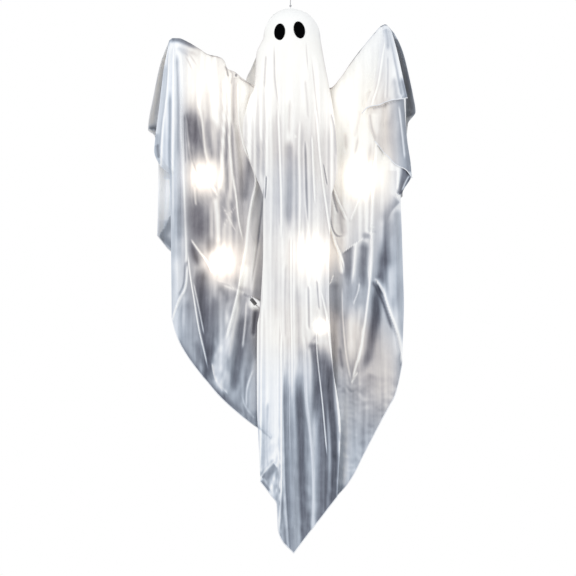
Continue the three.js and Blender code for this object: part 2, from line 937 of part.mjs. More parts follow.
function cordClip() {
  const [width, depth, tall] = clipSize;
  const ends = through([clipFrom, clipTo]);
  const centre = ends[0].clone().add(ends[1]).multiplyScalar(0.5);
  const tilt = Math.atan2(clipTo[2] - clipFrom[2], clipTo[0] - clipFrom[0]);
  const body = new THREE.BoxGeometry(width, depth, tall).rotateY(tilt);
  body.translate(centre.x, centre.y, centre.z);
  const reach = cordRoute;
  return cut(body, wire(through(reach), cordDiameter + 2 * fit, 8, 2));
}

add("cord_clip", cordClip(), black);

// A tie holds the cord to the shoulder wire beside the hub
const tieWidth = 3;
const tieWall = 1.2;
const tiePlace = [-31.5, -2.2, 181.3];

function cordTie() {
  const tall = frameWire + 2 * (fit + tieWall);
  const depth = frameWire + cordDiameter + 2 * fit + 3 * tieWall;
  const body = block(tieWidth, depth, tall, spot(...tiePlace));
  const wireHole = wire(through(shoulderRoute), frameWire + 2 * fit, 8, 2);
  const cordHole = wire(through(cordRoute), cordDiameter + 2 * fit, 8, 2);
  return cut(body, wireHole, cordHole);
}

add("cord_tie", cordTie(), plastic);

// Battery case behind the hub: open at the back, closed by a cover that slides down
const ribHeight = 0.6;
const switchDrop = caseTopDrop + 40;
const knobSize = 4;
const knobStand = 1.4; // how far the knob stands proud of the case
const switchSlot = knobSize + switchTravel + 2 * fit;
const switchY = caseY - 4;

function batteryCase() {
  const body = block(caseWidth, caseDepth, caseTall, spot(0, caseY, caseMiddle));
  const openDepth = bayDepth + coverThickness + 2 * fit;
  const bay = block(bayWidth, openDepth, bayTall, spot(0, bayY + half(openDepth - bayDepth), caseMiddle));
  const low = caseMiddle + caseWall;
  const groove = block(bayWidth + 2 * coverLip, coverThickness + 2 * fit, caseTall, spot(0, coverY, low));
  const mouth = block(bayWidth, caseDepth, caseTall, spot(0, coverY + half(caseDepth), low));
  const slotPlace = spot(half(caseWidth), switchY, switchDrop);
  const slot = block(6 * caseWall, knobSize + 2 * fit, switchSlot, slotPlace);
  const [, holeY, holeDrop] = grommetPlace;
  const hole = rod(grommetRadius + fit, 6 * caseWall, "x", spot(-half(caseWidth), holeY, holeDrop), 12);
  return cut(body, bay, groove, mouth, slot, hole, screwHole(-1), screwHole(1));
}

add("battery_case", batteryCase(), plastic);

function batteryCover() {
  const coverTop = caseTopDrop + caseWall + fit;
  const plate = block(coverWidth, coverThickness, coverTall, spot(0, coverY, coverTop + half(coverTall)));
  const ribs = [0, 1, 2].map((i) => {
    const ribDrop = coverTop + coverTall - 8 - 4 * i;
    return block(18, ribHeight * 2, 1.4, spot(0, coverY + half(coverThickness), ribDrop));
  });
  return join(plate, ...ribs);
}

add("battery_cover", batteryCover(), plastic);

// Three cells side by side, the middle one upside down
const cellNub = [2.6, 1];
for (let i = 0; i < 3; i++) {
  const x = (i - 1) * cellPitch;
  const up = i % 2 ? -1 : 1;
  const [nubRadius, nubLength] = cellNub;
  const canDrop = caseMiddle + half(up * nubLength);
  const nubDrop = caseMiddle - up * (half(cellLength) - nubLength);
  const can = rod(cellRadius, cellLength - nubLength, "z", spot(x, bayY, canDrop), 20);
  const nub = rod(nubRadius, 2 * nubLength, "z", spot(x, bayY, nubDrop), 12);
  add("battery_cell_" + (i + 1), join(can, nub), cellWrap);
}

// A contact plate at each end of the bay, with the outer shape of a spring towards each cell
const contactThickness = 0.6;
const contactDepth = 10;
const springRadius = 3.2;

function contacts(side) {
  const face = half(bayTall) - fit;
  const reach = face - half(cellLength) - fit;
  const seat = (length) => caseMiddle - side * (face - half(length));
  const plate = block(bayWidth - 4, contactDepth, contactThickness, spot(0, bayY, seat(contactThickness)));
  const springs = [-1, 0, 1].map((i) => {
    return rod(springRadius, reach, "z", spot(i * cellPitch, bayY, seat(reach)), 12);
  });
  return join(plate, ...springs);
}

add("contact_plate_top", contacts(1), steel);
add("contact_plate_bottom", contacts(-1), steel);

function switchSlider() {
  const width = 2 * caseWall + knobStand;
  const drop = switchDrop + half(switchTravel);
  return block(width, knobSize, knobSize, spot(half(caseWidth) + knobStand - half(width), switchY, drop));
}

add("switch_slider", switchSlider(), black);

function grommet() {
  const [, y, drop] = grommetPlace;
  const length = grommetReach + caseWall;
  return rod(grommetRadius, length, "x", spot(-half(caseWidth) + caseWall - half(length), y, drop), 12);
}

add("cord_grommet", grommet(), black);

export default ghost;
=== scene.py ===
# A light-up hanging ghost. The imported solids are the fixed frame; cloth, cords and finishes are made here.
import math

import bmesh
import bpy
import numpy as np
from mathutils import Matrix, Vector
from mathutils.kdtree import KDTree


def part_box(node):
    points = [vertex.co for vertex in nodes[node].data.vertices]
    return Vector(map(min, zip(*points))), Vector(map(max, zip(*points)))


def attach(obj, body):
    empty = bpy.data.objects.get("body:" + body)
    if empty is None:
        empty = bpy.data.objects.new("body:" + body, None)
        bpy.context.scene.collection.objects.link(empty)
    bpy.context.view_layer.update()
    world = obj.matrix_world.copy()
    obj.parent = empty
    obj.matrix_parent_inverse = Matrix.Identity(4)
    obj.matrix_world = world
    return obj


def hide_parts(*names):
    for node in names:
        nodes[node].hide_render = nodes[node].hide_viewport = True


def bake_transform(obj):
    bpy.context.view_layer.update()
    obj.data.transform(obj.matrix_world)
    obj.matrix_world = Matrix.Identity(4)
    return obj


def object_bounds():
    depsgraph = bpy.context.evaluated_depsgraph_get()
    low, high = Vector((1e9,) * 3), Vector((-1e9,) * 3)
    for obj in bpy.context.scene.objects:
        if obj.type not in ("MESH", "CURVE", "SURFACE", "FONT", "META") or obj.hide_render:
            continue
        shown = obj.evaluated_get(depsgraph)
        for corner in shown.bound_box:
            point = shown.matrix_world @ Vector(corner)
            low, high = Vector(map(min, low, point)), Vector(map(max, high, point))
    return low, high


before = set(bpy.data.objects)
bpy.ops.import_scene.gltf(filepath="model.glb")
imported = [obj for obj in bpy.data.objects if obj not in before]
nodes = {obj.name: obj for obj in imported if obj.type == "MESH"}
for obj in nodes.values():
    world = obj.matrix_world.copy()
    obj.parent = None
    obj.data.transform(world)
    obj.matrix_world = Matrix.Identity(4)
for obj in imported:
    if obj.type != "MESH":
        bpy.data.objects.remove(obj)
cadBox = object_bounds()
scene = bpy.context.scene
scene.view_settings.view_transform = "Standard"
mm = 0.001
crownHeight = -88.2  # drops are measured down from here, in millimetres


def place(x, y, drop):
    return Vector((x, y, crownHeight - drop)) * mm


def added(name, data):
    made = bpy.data.objects.new(name, data)
    scene.collection.objects.link(made)
    return made


# Camera, straight on, far off with a long lens
picture = {"across": 1271.1, "centre": (-5.5, 617.1), "plane": -45, "lens": 135, "farthest": 60}


def makeCamera():
    data = bpy.data.cameras.new("camera")
    data.lens = picture["lens"]
    data.clip_end = picture["farthest"]
    away = picture["across"] * data.lens / data.sensor_width
    x, drop = picture["centre"]
    scene.camera = added("camera", data)
    scene.camera.location = place(x, picture["plane"] - away, drop)
    scene.camera.rotation_euler = (math.pi / 2, 0, 0)


makeCamera()


# Materials: a link stands for one socket, and sums of links add Math nodes
class Link:
    def __init__(self, finish, socket):
        self.finish = finish
        self.socket = socket

    def sum(self, operation, *values):
        return self.finish.node("Math", values, operation=operation)

    def __add__(self, other):
        return self.sum("ADD", self, other)

    def __sub__(self, other):
        return self.sum("SUBTRACT", self, other)

    def __rsub__(self, other):
        return self.sum("SUBTRACT", other, self)

    def __mul__(self, other):
        return self.sum("MULTIPLY", self, other)

    def __truediv__(self, other):
        return self.sum("DIVIDE", self, other)

    __radd__ = __add__
    __rmul__ = __mul__

    def clamped(self):
        return self.finish.node("Clamp", [self])


class Finish:
    def __init__(self, name, **shader):
        self.material = bpy.data.materials.new(name)
        self.material.use_nodes = True
        self.tree = self.material.node_tree
        self.tree.nodes.clear()
        output = self.tree.nodes.new("ShaderNodeOutputMaterial")
        self.shader = self.tree.nodes.new("ShaderNodeBsdfPrincipled")
        self.tree.links.new(self.shader.outputs[0], output.inputs[0])
        self.set(**shader)

    def set(self, **sockets):
        # the shader's own sockets, with an underscore for each space in a name
        self.put(self.shader, {key.replace("_", " "): value for key, value in sockets.items()})

    def put(self, made, sockets):
        pairs = sockets.items() if isinstance(sockets, dict) else enumerate(sockets)
        for key, value in pairs:
            if isinstance(value, Link):
                self.tree.links.new(value.socket, made.inputs[key])
            else:
                made.inputs[key].default_value = value

    def node(self, kind, sockets, out=0, **settings):
        made = self.tree.nodes.new("ShaderNode" + kind)
        for key, value in settings.items():
            if key == "stops":
                self.setStops(made.color_ramp.elements, value)
            else:
                setattr(made, key, value)
        self.put(made, sockets)
        return Link(self, made.outputs[out])

    def setStops(self, elements, stops):
        while len(elements) < len(stops):
            elements.new(1)
        for element, (position, colour) in zip(elements, stops):
            element.position = position
            element.color = (*colour, 1)

    def ramp(self, value, *stops):
        return self.node("ValToRGB", [value], stops=stops)

    def objectPlace(self):
        return self.node("TexCoord", {}, "Object")

    def stretched(self, vector, *scale):
        return self.node("Mapping", {"Vector": vector, "Scale": scale})

    def noise(self, vector, scale, detail=2, rough=0.5):
        sockets = {"Vector": vector, "Scale": scale, "Detail": detail, "Roughness": rough}
        return self.node("TexNoise", sockets, "Fac")

    def blend(self, factor, a, b):
        a, b = (colour if isinstance(colour, Link) else (*colour, 1) for colour in (a, b))
        return self.node("Mix", {"Factor": factor, 6: a, 7: b}, 2, data_type="RGBA")

    def bump(self, height, distance, strength=1):
        self.set(Normal=self.node("Bump", {"Height": height, "Distance": distance, "Strength": strength}))


def tint(*shades):
    # a colour as a screen shows it, turned into light
    return tuple(c / 255 / 12.92 if c < 10 else ((c / 255 + 0.055) / 1.055) ** 2.4 for c in shades)


def mottled(name, dark, light, grain, bump, **shader):
    # a finish between two colours, with the same grain in its colour and its surface
    finish = Finish(name, **shader)
    fleck = finish.noise(finish.objectPlace(), *grain)
    finish.set(Base_Color=finish.blend(fleck, dark, light))
    finish.bump(fleck, *bump)
    return finish.material


def plainFinish(name, base, rough, scale, depth, shift):
    # moulded or coated stuff: a base colour that varies a little, with a fine grain in its surface
    finish = Finish(name)
    spot = finish.objectPlace()
    patches = finish.noise(spot, scale / 12, 3)
    dark = tuple(c * (1 - shift * 2) for c in base)
    finish.set(Base_Color=finish.blend(patches, dark, base), Roughness=rough - 0.08 + patches * 0.16)
    finish.bump(finish.noise(spot, scale, 4), depth)
    return finish.material


# Node trees for geometry, with the same way of making a node as the materials have
class Growth:
    def __init__(self, name, **inputs):
        self.tree = bpy.data.node_groups.new(name, "GeometryNodeTree")
        self.inputs = inputs
        socket = self.tree.interface.new_socket
        socket("Geometry", in_out="INPUT", socket_type="NodeSocketGeometry")
        for label, value in inputs.items():
            kind = "NodeSocketInt" if isinstance(value, int) else "NodeSocketFloat"
            socket(label, in_out="INPUT", socket_type=kind).default_value = value
        socket("Geometry", in_out="OUTPUT", socket_type="NodeSocketGeometry")
        self.entry = self.tree.nodes.new("NodeGroupInput")

    def given(self, label):
        return self.entry.outputs[label]

    def node(self, kind, sockets, out=0, **settings):
        made = self.tree.nodes.new(kind if "Node" in kind else "GeometryNode" + kind)
        for key, value in settings.items():
            setattr(made, key, value)
        for key, value in sockets.items():
            if isinstance(value, bpy.types.NodeSocket):
                self.tree.links.new(value, made.inputs[key])
            else:
                made.inputs[key].default_value = value
        return made.outputs[out]

    def join(self, *parts):
        made = self.tree.nodes.new("GeometryNodeJoinGeometry")
        for part in parts:
            self.tree.links.new(part, made.inputs[0])
        return made.outputs[0]

    def lifted(self, geometry, height):
        return self.node("Transform", {"Geometry": geometry, "Translation": (0, 0, height)})

    def scattered(self, points, thing, **more):
        return self.node("InstanceOnPoints", {"Points": points, "Instance": thing, **more})

    def drum(self, sides, radius, tall):
        return self.node("MeshCylinder", {"Vertices": sides, "Radius": radius, "Depth": tall})

    def tube(self, line, radius, sides):
        ring = self.node("CurvePrimitiveCircle", {"Resolution": sides, "Radius": radius}, "Curve")
        return self.node("CurveToMesh", {"Curve": line, "Profile Curve": ring, "Fill Caps": True})

    def grow(self, name, last, material, base=None):
        # the tree's result as a plain mesh
        real = self.node("RealizeInstances", {"Geometry": last})
        dressed = self.node("SetMaterial", {"Geometry": real, "Material": material})
        end = self.tree.nodes.new("NodeGroupOutput")
        self.tree.links.new(dressed, end.inputs[0])
        seed = added(name + "_seed", base or bpy.data.meshes.new(name + "_seed"))
        modifier = seed.modifiers.new("growth", "NODES")
        modifier.node_group = self.tree
        for item in self.tree.interface.items_tree:
            if item.in_out == "INPUT" and item.name in self.inputs:
                modifier[item.identifier] = self.inputs[item.name]
        view = bpy.context.evaluated_depsgraph_get()
        mesh = bpy.data.meshes.new_from_object(seed.evaluated_get(view))
        bpy.data.objects.remove(seed)
        return added(name, mesh)


def lineMesh(name, *lines):
    # lines of points joined by edges, from which a tree grows a tube
    edges, past = [], 0
    for line in lines:
        edges += [(k, k + 1) for k in range(past, past + len(line) - 1)]
        past += len(line)
    mesh = bpy.data.meshes.new(name + "_line")
    mesh.from_pydata([tuple(spot) for line in lines for spot in line], edges, [])
    return mesh


def rounded(points, steps):
    # a smooth curve through points that doesn't loop, with a number of steps from each to the next
    knots = [np.array(p, float) for p in points]
    knots = [2 * knots[0] - knots[1], *knots, 2 * knots[-1] - knots[-2]]
    line = []
    for group in zip(knots, knots[1:], knots[2:], knots[3:]):
        times = np.cumsum([0, *(np.linalg.norm(b - a) ** 0.5 for a, b in zip(group, group[1:]))])
        for t in times[1] + (times[2] - times[1]) * np.arange(steps) / steps:
            row = list(group)
            for reach in (1, 2, 3):
                row = [
                    a + (b - a) * (t - times[i]) / (times[i + reach] - times[i])
                    if reach < 3 else a + (b - a) * (t - times[1]) / (times[2] - times[1])
                    for i, (a, b) in enumerate(zip(row, row[1:]))
                ]
            line.append(row[0])
    return np.array([*line, knots[-2]])


# Cords: the string of lamps and the thin line at the crown
lampString = {
    "diameter": 2.4,
    "sides": 12,
    "lamps": [
        (-2, -24, 152), (-97, -6, 205), (-186, -6, 170), (-183, -4, 374), (-138, -4, 551),
        (-20, -4, 712), (50, -4, 732), (56, -4, 533), (142, -4, 385), (120, -6, 194),
    ],
    "rise": 22.8,  # the cord's height above a lamp's middle
    "reach": 5,  # it runs level this far to both sides of a socket
}


def over(number, side):
    x, y, drop = lampString["lamps"][number - 1]
    return (x + side * lampString["reach"], y, drop - lampString["rise"])


lampString["route"] = [
    (-30, 20, 172), (-33, 20, 172), (-42, 14, 164), (-36, -4, 142), over(1, -1), over(1, 1),
    (12, -30, 160), (-12, -26, 186), (-27, -9, 182.5), (-29.4, -4.4, 181.4), (-34, -4.4, 182),
    (-50, -8, 192), over(2, 1), over(2, -1), (-122, -8, 178), over(3, 1), over(3, -1),
    (-206, -6, 180), (-206, -5, 290), over(4, -1), over(4, 1), (-156, -4, 400), (-158, -4, 500),
    over(5, -1), over(5, 1), (-112, -5, 570), (-87, -10, 642), (-78, -10, 653), (-52, -6, 676),
    over(6, -1), over(6, 1), over(7, -1), over(7, 1), (80, -4, 716), (84, -4, 570),
    over(8, 1), over(8, -1), (46, -4, 456), over(9, -1), over(9, 1), (168, -4, 340),
    over(10, 1), over(10, -1),
]
cordJacket = plainFinish("cord", (0.86, 0.86, 0.83), 0.4, 300, 0.00006, 0.05)


def lengthOf(line):
    return float(np.linalg.norm(np.diff(np.array(line), axis=0), axis=1).sum())


def makeLampString():
    line = [place(*point) for point in rounded(lampString["route"], 6)]
    growth = Growth("light_string", Thick=lampString["diameter"] * mm / 2, Sides=lampString["sides"])
    path = growth.node("MeshToCurve", {"Mesh": growth.given("Geometry")})
    tube = growth.tube(path, growth.given("Thick"), growth.given("Sides"))
    cord = growth.grow("light_string", tube, cordJacket, lineMesh("light_string", line))
    cord.data.shade_smooth()
    print("lamp string", round(lengthOf(line), 3), "m")
    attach(cord, "figure")
    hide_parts("light_cord")
    lengthOf(line)
    lampString["diameter"] * mm


hangingTwine = {
    "diameter": 1.6,
    "strands": 3,
    "twist": 9.0,  # how many turns it makes
    "steps": 28,  # points in each turn
    "sides": 8,
    "wind": 0.22,  # how far out a strand winds, and its radius, as shares of the diameter
    "strand": 0.28,
    "path": 12,
}
twine = mottled("twine", tint(128, 128, 132), tint(190, 190, 194), (2500, 3), (0.0002,), Roughness=0.75)


def makeHangingTwine():
    low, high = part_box("hanging_line")
    tall = high.z - low.z
    size = hangingTwine["diameter"] * mm
    wind = size * hangingTwine["wind"]
    growth = Growth("twist", Strands=hangingTwine["strands"], Turns=hangingTwine["twist"])
    core = growth.node("CurveSpiral", {
        "Resolution": hangingTwine["steps"], "Rotations": growth.given("Turns"), "Start Radius": wind,
        "End Radius": wind, "Height": tall,
    })
    strand = growth.tube(core, size * hangingTwine["strand"], hangingTwine["sides"])
    points = growth.node("Points", {"Count": growth.given("Strands")})
    share = math.tau / hangingTwine["strands"]
    turn = growth.node("ShaderNodeMath", {0: growth.node("InputIndex", {}), 1: share}, operation="MULTIPLY")
    strands = growth.scattered(points, strand, Rotation=growth.node("ShaderNodeCombineXYZ", {"Z": turn}))
    line = growth.grow("hanging_twine", growth.lifted(strands, low.z), twine)
    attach(line, "figure")
    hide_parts("hanging_line")


makeLampString()
makeHangingTwine()
print("cords made")


# Cloth is made as grids of points (x, y, drop) in millimetres, one row after another down its fall
def smoothLine(pairs):
    # a curve through rising (at, value) pairs that never overshoots them
    at, value = np.array(pairs, float).T
    slope = np.diff(value) / np.diff(at)
    before, after = slope[:-1], slope[1:]
    steady = before * after > 0
    middle = np.where(steady, 2 * before * after / np.where(steady, before + after, 1), 0)
    lean = np.concatenate([slope[:1], middle, slope[-1:]])

    def line(x):
        x = np.clip(x, at[0], at[-1])
        i = np.clip(np.searchsorted(at, x, "right") - 1, 0, len(at) - 2)
        span = at[i + 1] - at[i]
        t = (x - at[i]) / span
        turn = span * (lean[i] * t * (1 - t) ** 2 - lean[i + 1] * t * t * (1 - t))
        return value[i] + (value[i + 1] - value[i]) * ease(t) + turn

    return line


def ease(t):
    t = np.clip(t, 0, 1)
    return t * t * (3 - 2 * t)


def ripple(x, y, seed):
    # smooth noise from -1 to 1 with a wave length of one
    draw = np.random.default_rng(seed).random((256, 256)) * 2 - 1
    ix, iy = np.floor(x).astype(int), np.floor(y).astype(int)
    fx, fy = ease(x - ix), ease(y - iy)
    corner = lambda a, b: draw[(ix + a) % 256, (iy + b) % 256]
    top = corner(0, 0) * (1 - fx) + corner(1, 0) * fx
    low = corner(0, 1) * (1 - fx) + corner(1, 1) * fx
    return top * (1 - fy) + low * fy


# Lamp light painted on the cloth: (x, drop), how strong, how far, and how far it warms the colour
glows = [
    ((0, 150), 0.05, 90, 150), ((-97, 200), 0.08, 62, 130), ((-186, 165), 0.2, 60, 120),
    ((-190, 371), 1.0, 33, 120), ((-150, 560), 1.1, 39, 130), ((-20, 712), 0.05, 40, 80),
    ((68, 702), 0.8, 15, 45), ((52, 545), 0.5, 46, 90), ((152, 372), 0.75, 40, 130),
    # the last two here paint glow and warmth where no lamp is
    ((128, 225), 0.16, 70, 120), ((131, 735), 0.06, 30, 60), ((212, 820), 0, 1, 110),
]
warmth = {"out": 215, "fade": 50}  # from this far out no lamp warms the cloth's colour
foldShape = {
    "steps": 5,  # from one point of a fold to the next
    "tip": 0.45,  # its width at the ends
    "most": 1.1,  # the most it can rise for its width
    "soft": 2.2,  # how softly one ends at the edge it is tucked under
    "light": 0.3,  # how much its bend changes the painted light and shade, and the most bend that counts
    "bend": 0.25,
    # the darkest the painted shading goes
    "darkest": 0.2,
    "ripple": 0.06,  # how much a wrinkle changes the painted shading, and where in the noise it is read
    "offset": 40,
}


class Cloth:
    # A wrinkle is how long its waves are across and down, how deep they are, their seed, how much they
    # shade the cloth, and where they fade in.
    # A fold is its line (x and drop in turn), widths to left and right, rise, painted shading, the share of
    # its length over which each end fades, and how hard its edge is. With one point for a line it is a
    # hollow: half width and height, rise, painted shading, turn, edge, and how far the cloth opens.
    # The cloth's shading value is light and shade painted into its colour: pale on ridges, dark in valleys
    # and hollows.
    def __init__(self, x, y, drop, panel):
        self.x, self.y, self.drop, self.side = x, y, drop, panel["side"]
        self.panel, self.warmth, self.under = panel, panel.get("warmth", 1), None
        self.out, self.open = np.zeros_like(x), np.zeros_like(x)
        # painted shade: a level given for each drop down the fall
        self.tone = np.interp(drop, *zip(*panel["fade"]))
        across = np.gradient(x, axis=1)[len(x) // 2]
        self.width = max(float(np.abs(across).mean()), 0.5)
        self.mirrored = float(across.mean()) < 0

    def near(self, line, reach):
        # how far each point is from a line, right of it positive, and its place along the line
        low, high = line.min(0) - 3 * reach, line.max(0) + 3 * reach
        pick = (self.x > low[0]) & (self.x < high[0]) & (self.drop > low[1]) & (self.drop < high[1])
        x, drop = self.x[pick], self.drop[pick]
        best, sign, along = np.full(x.shape, 1e9), np.ones(x.shape), np.zeros(x.shape)
        steps = np.hypot(*np.diff(line, axis=0).T)
        whole, past = steps.sum(), 0
        for (ax, ad), (bx, bd), step in zip(line, line[1:], steps):
            dx, dd = bx - ax, bd - ad
            t = np.clip(((x - ax) * dx + (drop - ad) * dd) / step ** 2, 0, 1)
            ox, od = x - ax - t * dx, drop - ad - t * dd
            away = np.hypot(ox, od)
            nearer = away < best
            best = np.where(nearer, away, best)
            sign = np.where(nearer, np.sign(dd * ox - dx * od), sign)
            along = np.where(nearer, (past + t * step) / whole, along)
            past += step
        return pick, best * sign, along

    def mark(self, pick, share, rise, tone):
        self.out[pick] += rise * share
        if tone is not None:
            self.tone[pick] += (tone - self.tone[pick]) * share

    def crease(self, line, left, right, rise, tone=None, start=0.12, end=0.12, edge=1.7):
        line = np.array(line, float).reshape(-1, 2)
        if len(line) > 2:
            line = rounded(line, foldShape["steps"])
        widest = max(left, right)
        pick, away, along = self.near(line, widest)
        fadeIn, fadeOut = np.clip(along / start, 0, 1), np.clip((1 - along) / end, 0, 1)
        narrow = foldShape["tip"] + (1 - foldShape["tip"]) * np.sqrt(fadeIn * fadeOut)
        share = np.exp(-(np.abs(away) / np.where(away < 0, left, right) / narrow) ** edge)
        share *= ease(fadeIn) * ease(fadeOut)
        if self.under:
            limit = np.interp(self.x[pick], *zip(*self.under))
            share *= ease((self.drop[pick] - limit) / foldShape["soft"] + 0.5)
        most = foldShape["most"] * widest
        self.mark(pick, share, min(max(rise, -most), most), tone)

    def hollow(self, centre, wide, tall, rise, tone=None, turn=0, edge=3, open=0):
        dx, dd = self.x - centre[0], self.drop - centre[1]
        c, s = math.cos(math.radians(turn)), math.sin(math.radians(turn))
        away = np.hypot((dx * c + dd * s) / wide, (dd * c - dx * s) / tall)
        pick = away < 3
        share = np.exp(-away[pick] ** edge)
        self.mark(pick, share, rise, tone)
        self.open[pick] += (open - self.open[pick]) * share

    def fold(self, rows, under=None):
        # all folds in turn; with a line given, they are tucked under it and show only below
        self.under = under
        for line, *shape in rows:
            (self.crease if len(line) > 2 else self.hollow)(line, *shape)

    def wrinkle(self, across, down, rise, seed, shade=0.5, fade=None, where=1):
        # fade is the drop from which the waves come in, over how far, and how much is there before
        if fade:
            start, over, least = fade
            where = where * (least + (1 - least) * ease((self.drop - start) / over))
        offset = foldShape["offset"]
        wave = ripple(self.x / across + offset, self.drop / down + offset, seed) * where
        self.out += rise * wave
        self.tone += shade * foldShape["ripple"] * wave

    def ruffle(self):
        for row in self.panel["wrinkles"]:
            self.wrinkle(*row)

    def settle(self):
        # the folds' ridges catch the light and their valleys lose it
        self.y = self.y + self.side * self.out
        bend = -np.gradient(np.gradient(self.out, axis=1), axis=1) / self.width ** 2
        caught = foldShape["light"] * np.clip(bend, -foldShape["bend"], foldShape["bend"])
        self.tone = np.clip(self.tone + caught, foldShape["darkest"], 1)
        return self

    def light(self):
        # how strongly the lamps light each point, and how much they warm it
        glow, warm = np.zeros_like(self.x), np.zeros_like(self.x)
        for (x, drop), strength, reach, wide in glows:
            away = np.hypot(self.x - x, self.drop - drop)
            glow += strength * np.exp(-(away / reach) ** 2)
            warm += np.exp(-(away / wide) ** 2)
        # each panel's own painted glow, lightening parts in shade
        for (x, drop), strength, reach in self.panel.get("glows", ()):
            glow += strength * np.exp(-(np.hypot(self.x - x, self.drop - drop) / reach) ** 2)
        cold = ease((np.abs(self.x) - warmth["out"]) / warmth["fade"])
        return {"glow": glow, "warm": np.minimum(warm, 1) * self.warmth * (1 - cold)}


def makeCloth(name, cloths):
    # several grids as one mesh, with the maps that the cloth's finish reads
    vertices, faces, maps, flat = [], [], {"tone": [], "glow": [], "warm": [], "open": []}, []
    for cloth in cloths:
        rows, columns = cloth.x.shape
        first = len(vertices)
        stack = np.stack([cloth.x, cloth.y, crownHeight - cloth.drop], axis=-1) * mm
        vertices += stack.reshape(-1, 3).tolist()
        index = first + np.arange(rows * columns).reshape(rows, columns)
        quads = np.stack([index[:-1, :-1], index[1:, :-1], index[1:, 1:], index[:-1, 1:]], axis=-1)
        quads = quads.reshape(-1, 4)
        faces += (quads if (cloth.side < 0) != cloth.mirrored else quads[:, ::-1]).tolist()
        found = {"tone": cloth.tone, "open": cloth.open, **cloth.light()}
        for key, values in found.items():
            maps[key] += values.ravel().tolist()
        across = np.cumsum(np.linalg.norm(np.diff(stack, axis=1, prepend=stack[:, :1]), axis=2), axis=1)
        down = np.cumsum(np.linalg.norm(np.diff(stack, axis=0, prepend=stack[:1]), axis=2), axis=0)
        flat += np.stack([across, down], axis=-1).reshape(-1, 2).tolist()
    mesh = bpy.data.meshes.new(name)
    mesh.from_pydata(vertices, [], faces)
    for key, values in maps.items():
        mesh.attributes.new(key, "FLOAT", "POINT").data.foreach_set("value", values)
    corners = np.array([loop.vertex_index for loop in mesh.loops])
    mesh.uv_layers.new(name="flat").data.foreach_set("uv", np.array(flat)[corners].ravel())
    mesh.shade_smooth()
    mesh.materials.append(gauze)
    return added(name, mesh)


gauzeLook = {
    # the painted shading picks a colour here: dark painted shade to white, cool, and warmer under the lamps'
    # painted warm light
    "places": (0, 0.3, 0.45, 0.6, 0.75, 0.88, 1),
    "cool": [
        (28, 31, 38), (70, 75, 86), (108, 113, 126), (146, 154, 167), (184, 193, 205), (220, 226, 235),
        (253, 254, 255),
    ],
    "lampWarmed": [
        (34, 32, 35), (77, 75, 82), (115, 113, 121), (153, 151, 156), (194, 190, 191), (228, 223, 219),
        (255, 254, 250),
    ],
    # colours of the lamps' glow painted on the cloth, warm near them and pale further off
    "light": [
        (0, (0, 0, 0)), (0.12, (0.10, 0.086, 0.066)), (0.4, (0.42, 0.36, 0.29)), (0.75, (0.8, 0.74, 0.64)),
        (1, (1, 0.98, 0.94)),
    ],
    "pale": [(0, (0, 0, 0)), (1, (0.87, 0.94, 1))],
    "streaks": (100, 5, 1),  # how fine along and across the cloth
    "threads": (900, 60, 1),
    "clouds": 30,
    "mix": (0.3, 0.34, 0.1),  # how much streaks, clouds and threads change the painted shading
    "even": 1.12,  # the closer the painted shading is to this, the less they do
    "shaded": 0.25,  # the share of the lamps' light that dark folds still pass
    "weave": 420,
    "weaveShare": 0.3,  # in the surface, beside threads
    "streakShare": 4,
    "relief": 0.00015,
}


def makeGauze():
    finish = Finish(
        "gauze", Roughness=0.7, Sheen_Weight=0.15, Sheen_Roughness=0.5, Specular_IOR_Level=0.25,
        Emission_Strength=1.2,
    )
    flat = finish.node("UVMap", {}, uv_map="flat")
    tone, glow, warm, openness = (
        finish.node("Attribute", {}, "Fac", attribute_name=key) for key in ("tone", "glow", "warm", "open")
    )
    streak = finish.noise(finish.stretched(flat, *gauzeLook["streaks"]), 1, 4, 0.6)
    thread = finish.noise(finish.stretched(flat, *gauzeLook["threads"]), 1, 2)
    cloudy = finish.noise(finish.objectPlace(), gauzeLook["clouds"], 5, 0.6)
    a, b, c = gauzeLook["mix"]
    varied = ((streak - 0.5) * a + (cloudy - 0.5) * b + (thread - 0.5) * c) * (gauzeLook["even"] - tone)
    shade = (tone + varied).clamped()
    # the painted light and shade sets the base colour, warmer where lamp warmth is painted in
    cool, lampWarmed = (
        finish.ramp(shade, *zip(gauzeLook["places"], (tint(*colour) for colour in gauzeLook[key])))
        for key in ("cool", "lampWarmed")
    )
    # the lamps' painted glow, dimmer where folds are painted dark
    lit = glow * (gauzeLook["shaded"] + shade * (1 - gauzeLook["shaded"]))
    pale, light = (finish.ramp(lit, *gauzeLook[key]) for key in ("pale", "light"))
    warm = warm.clamped()
    finish.set(
        Base_Color=finish.blend(warm, cool, lampWarmed), Emission_Color=finish.blend(warm, pale, light),
        Alpha=(1 - openness).clamped(),
    )
    wave = {"Vector": flat, "Scale": gauzeLook["weave"], "Distortion": 1.5}
    weave, weft = (finish.node("TexWave", wave, bands_direction=axis) for axis in "XY")
    relief = (weave + weft) * gauzeLook["weaveShare"] + thread + streak * gauzeLook["streakShare"]
    finish.bump(relief, gauzeLook["relief"], 0.6)
    return finish.material


gauze = makeGauze()

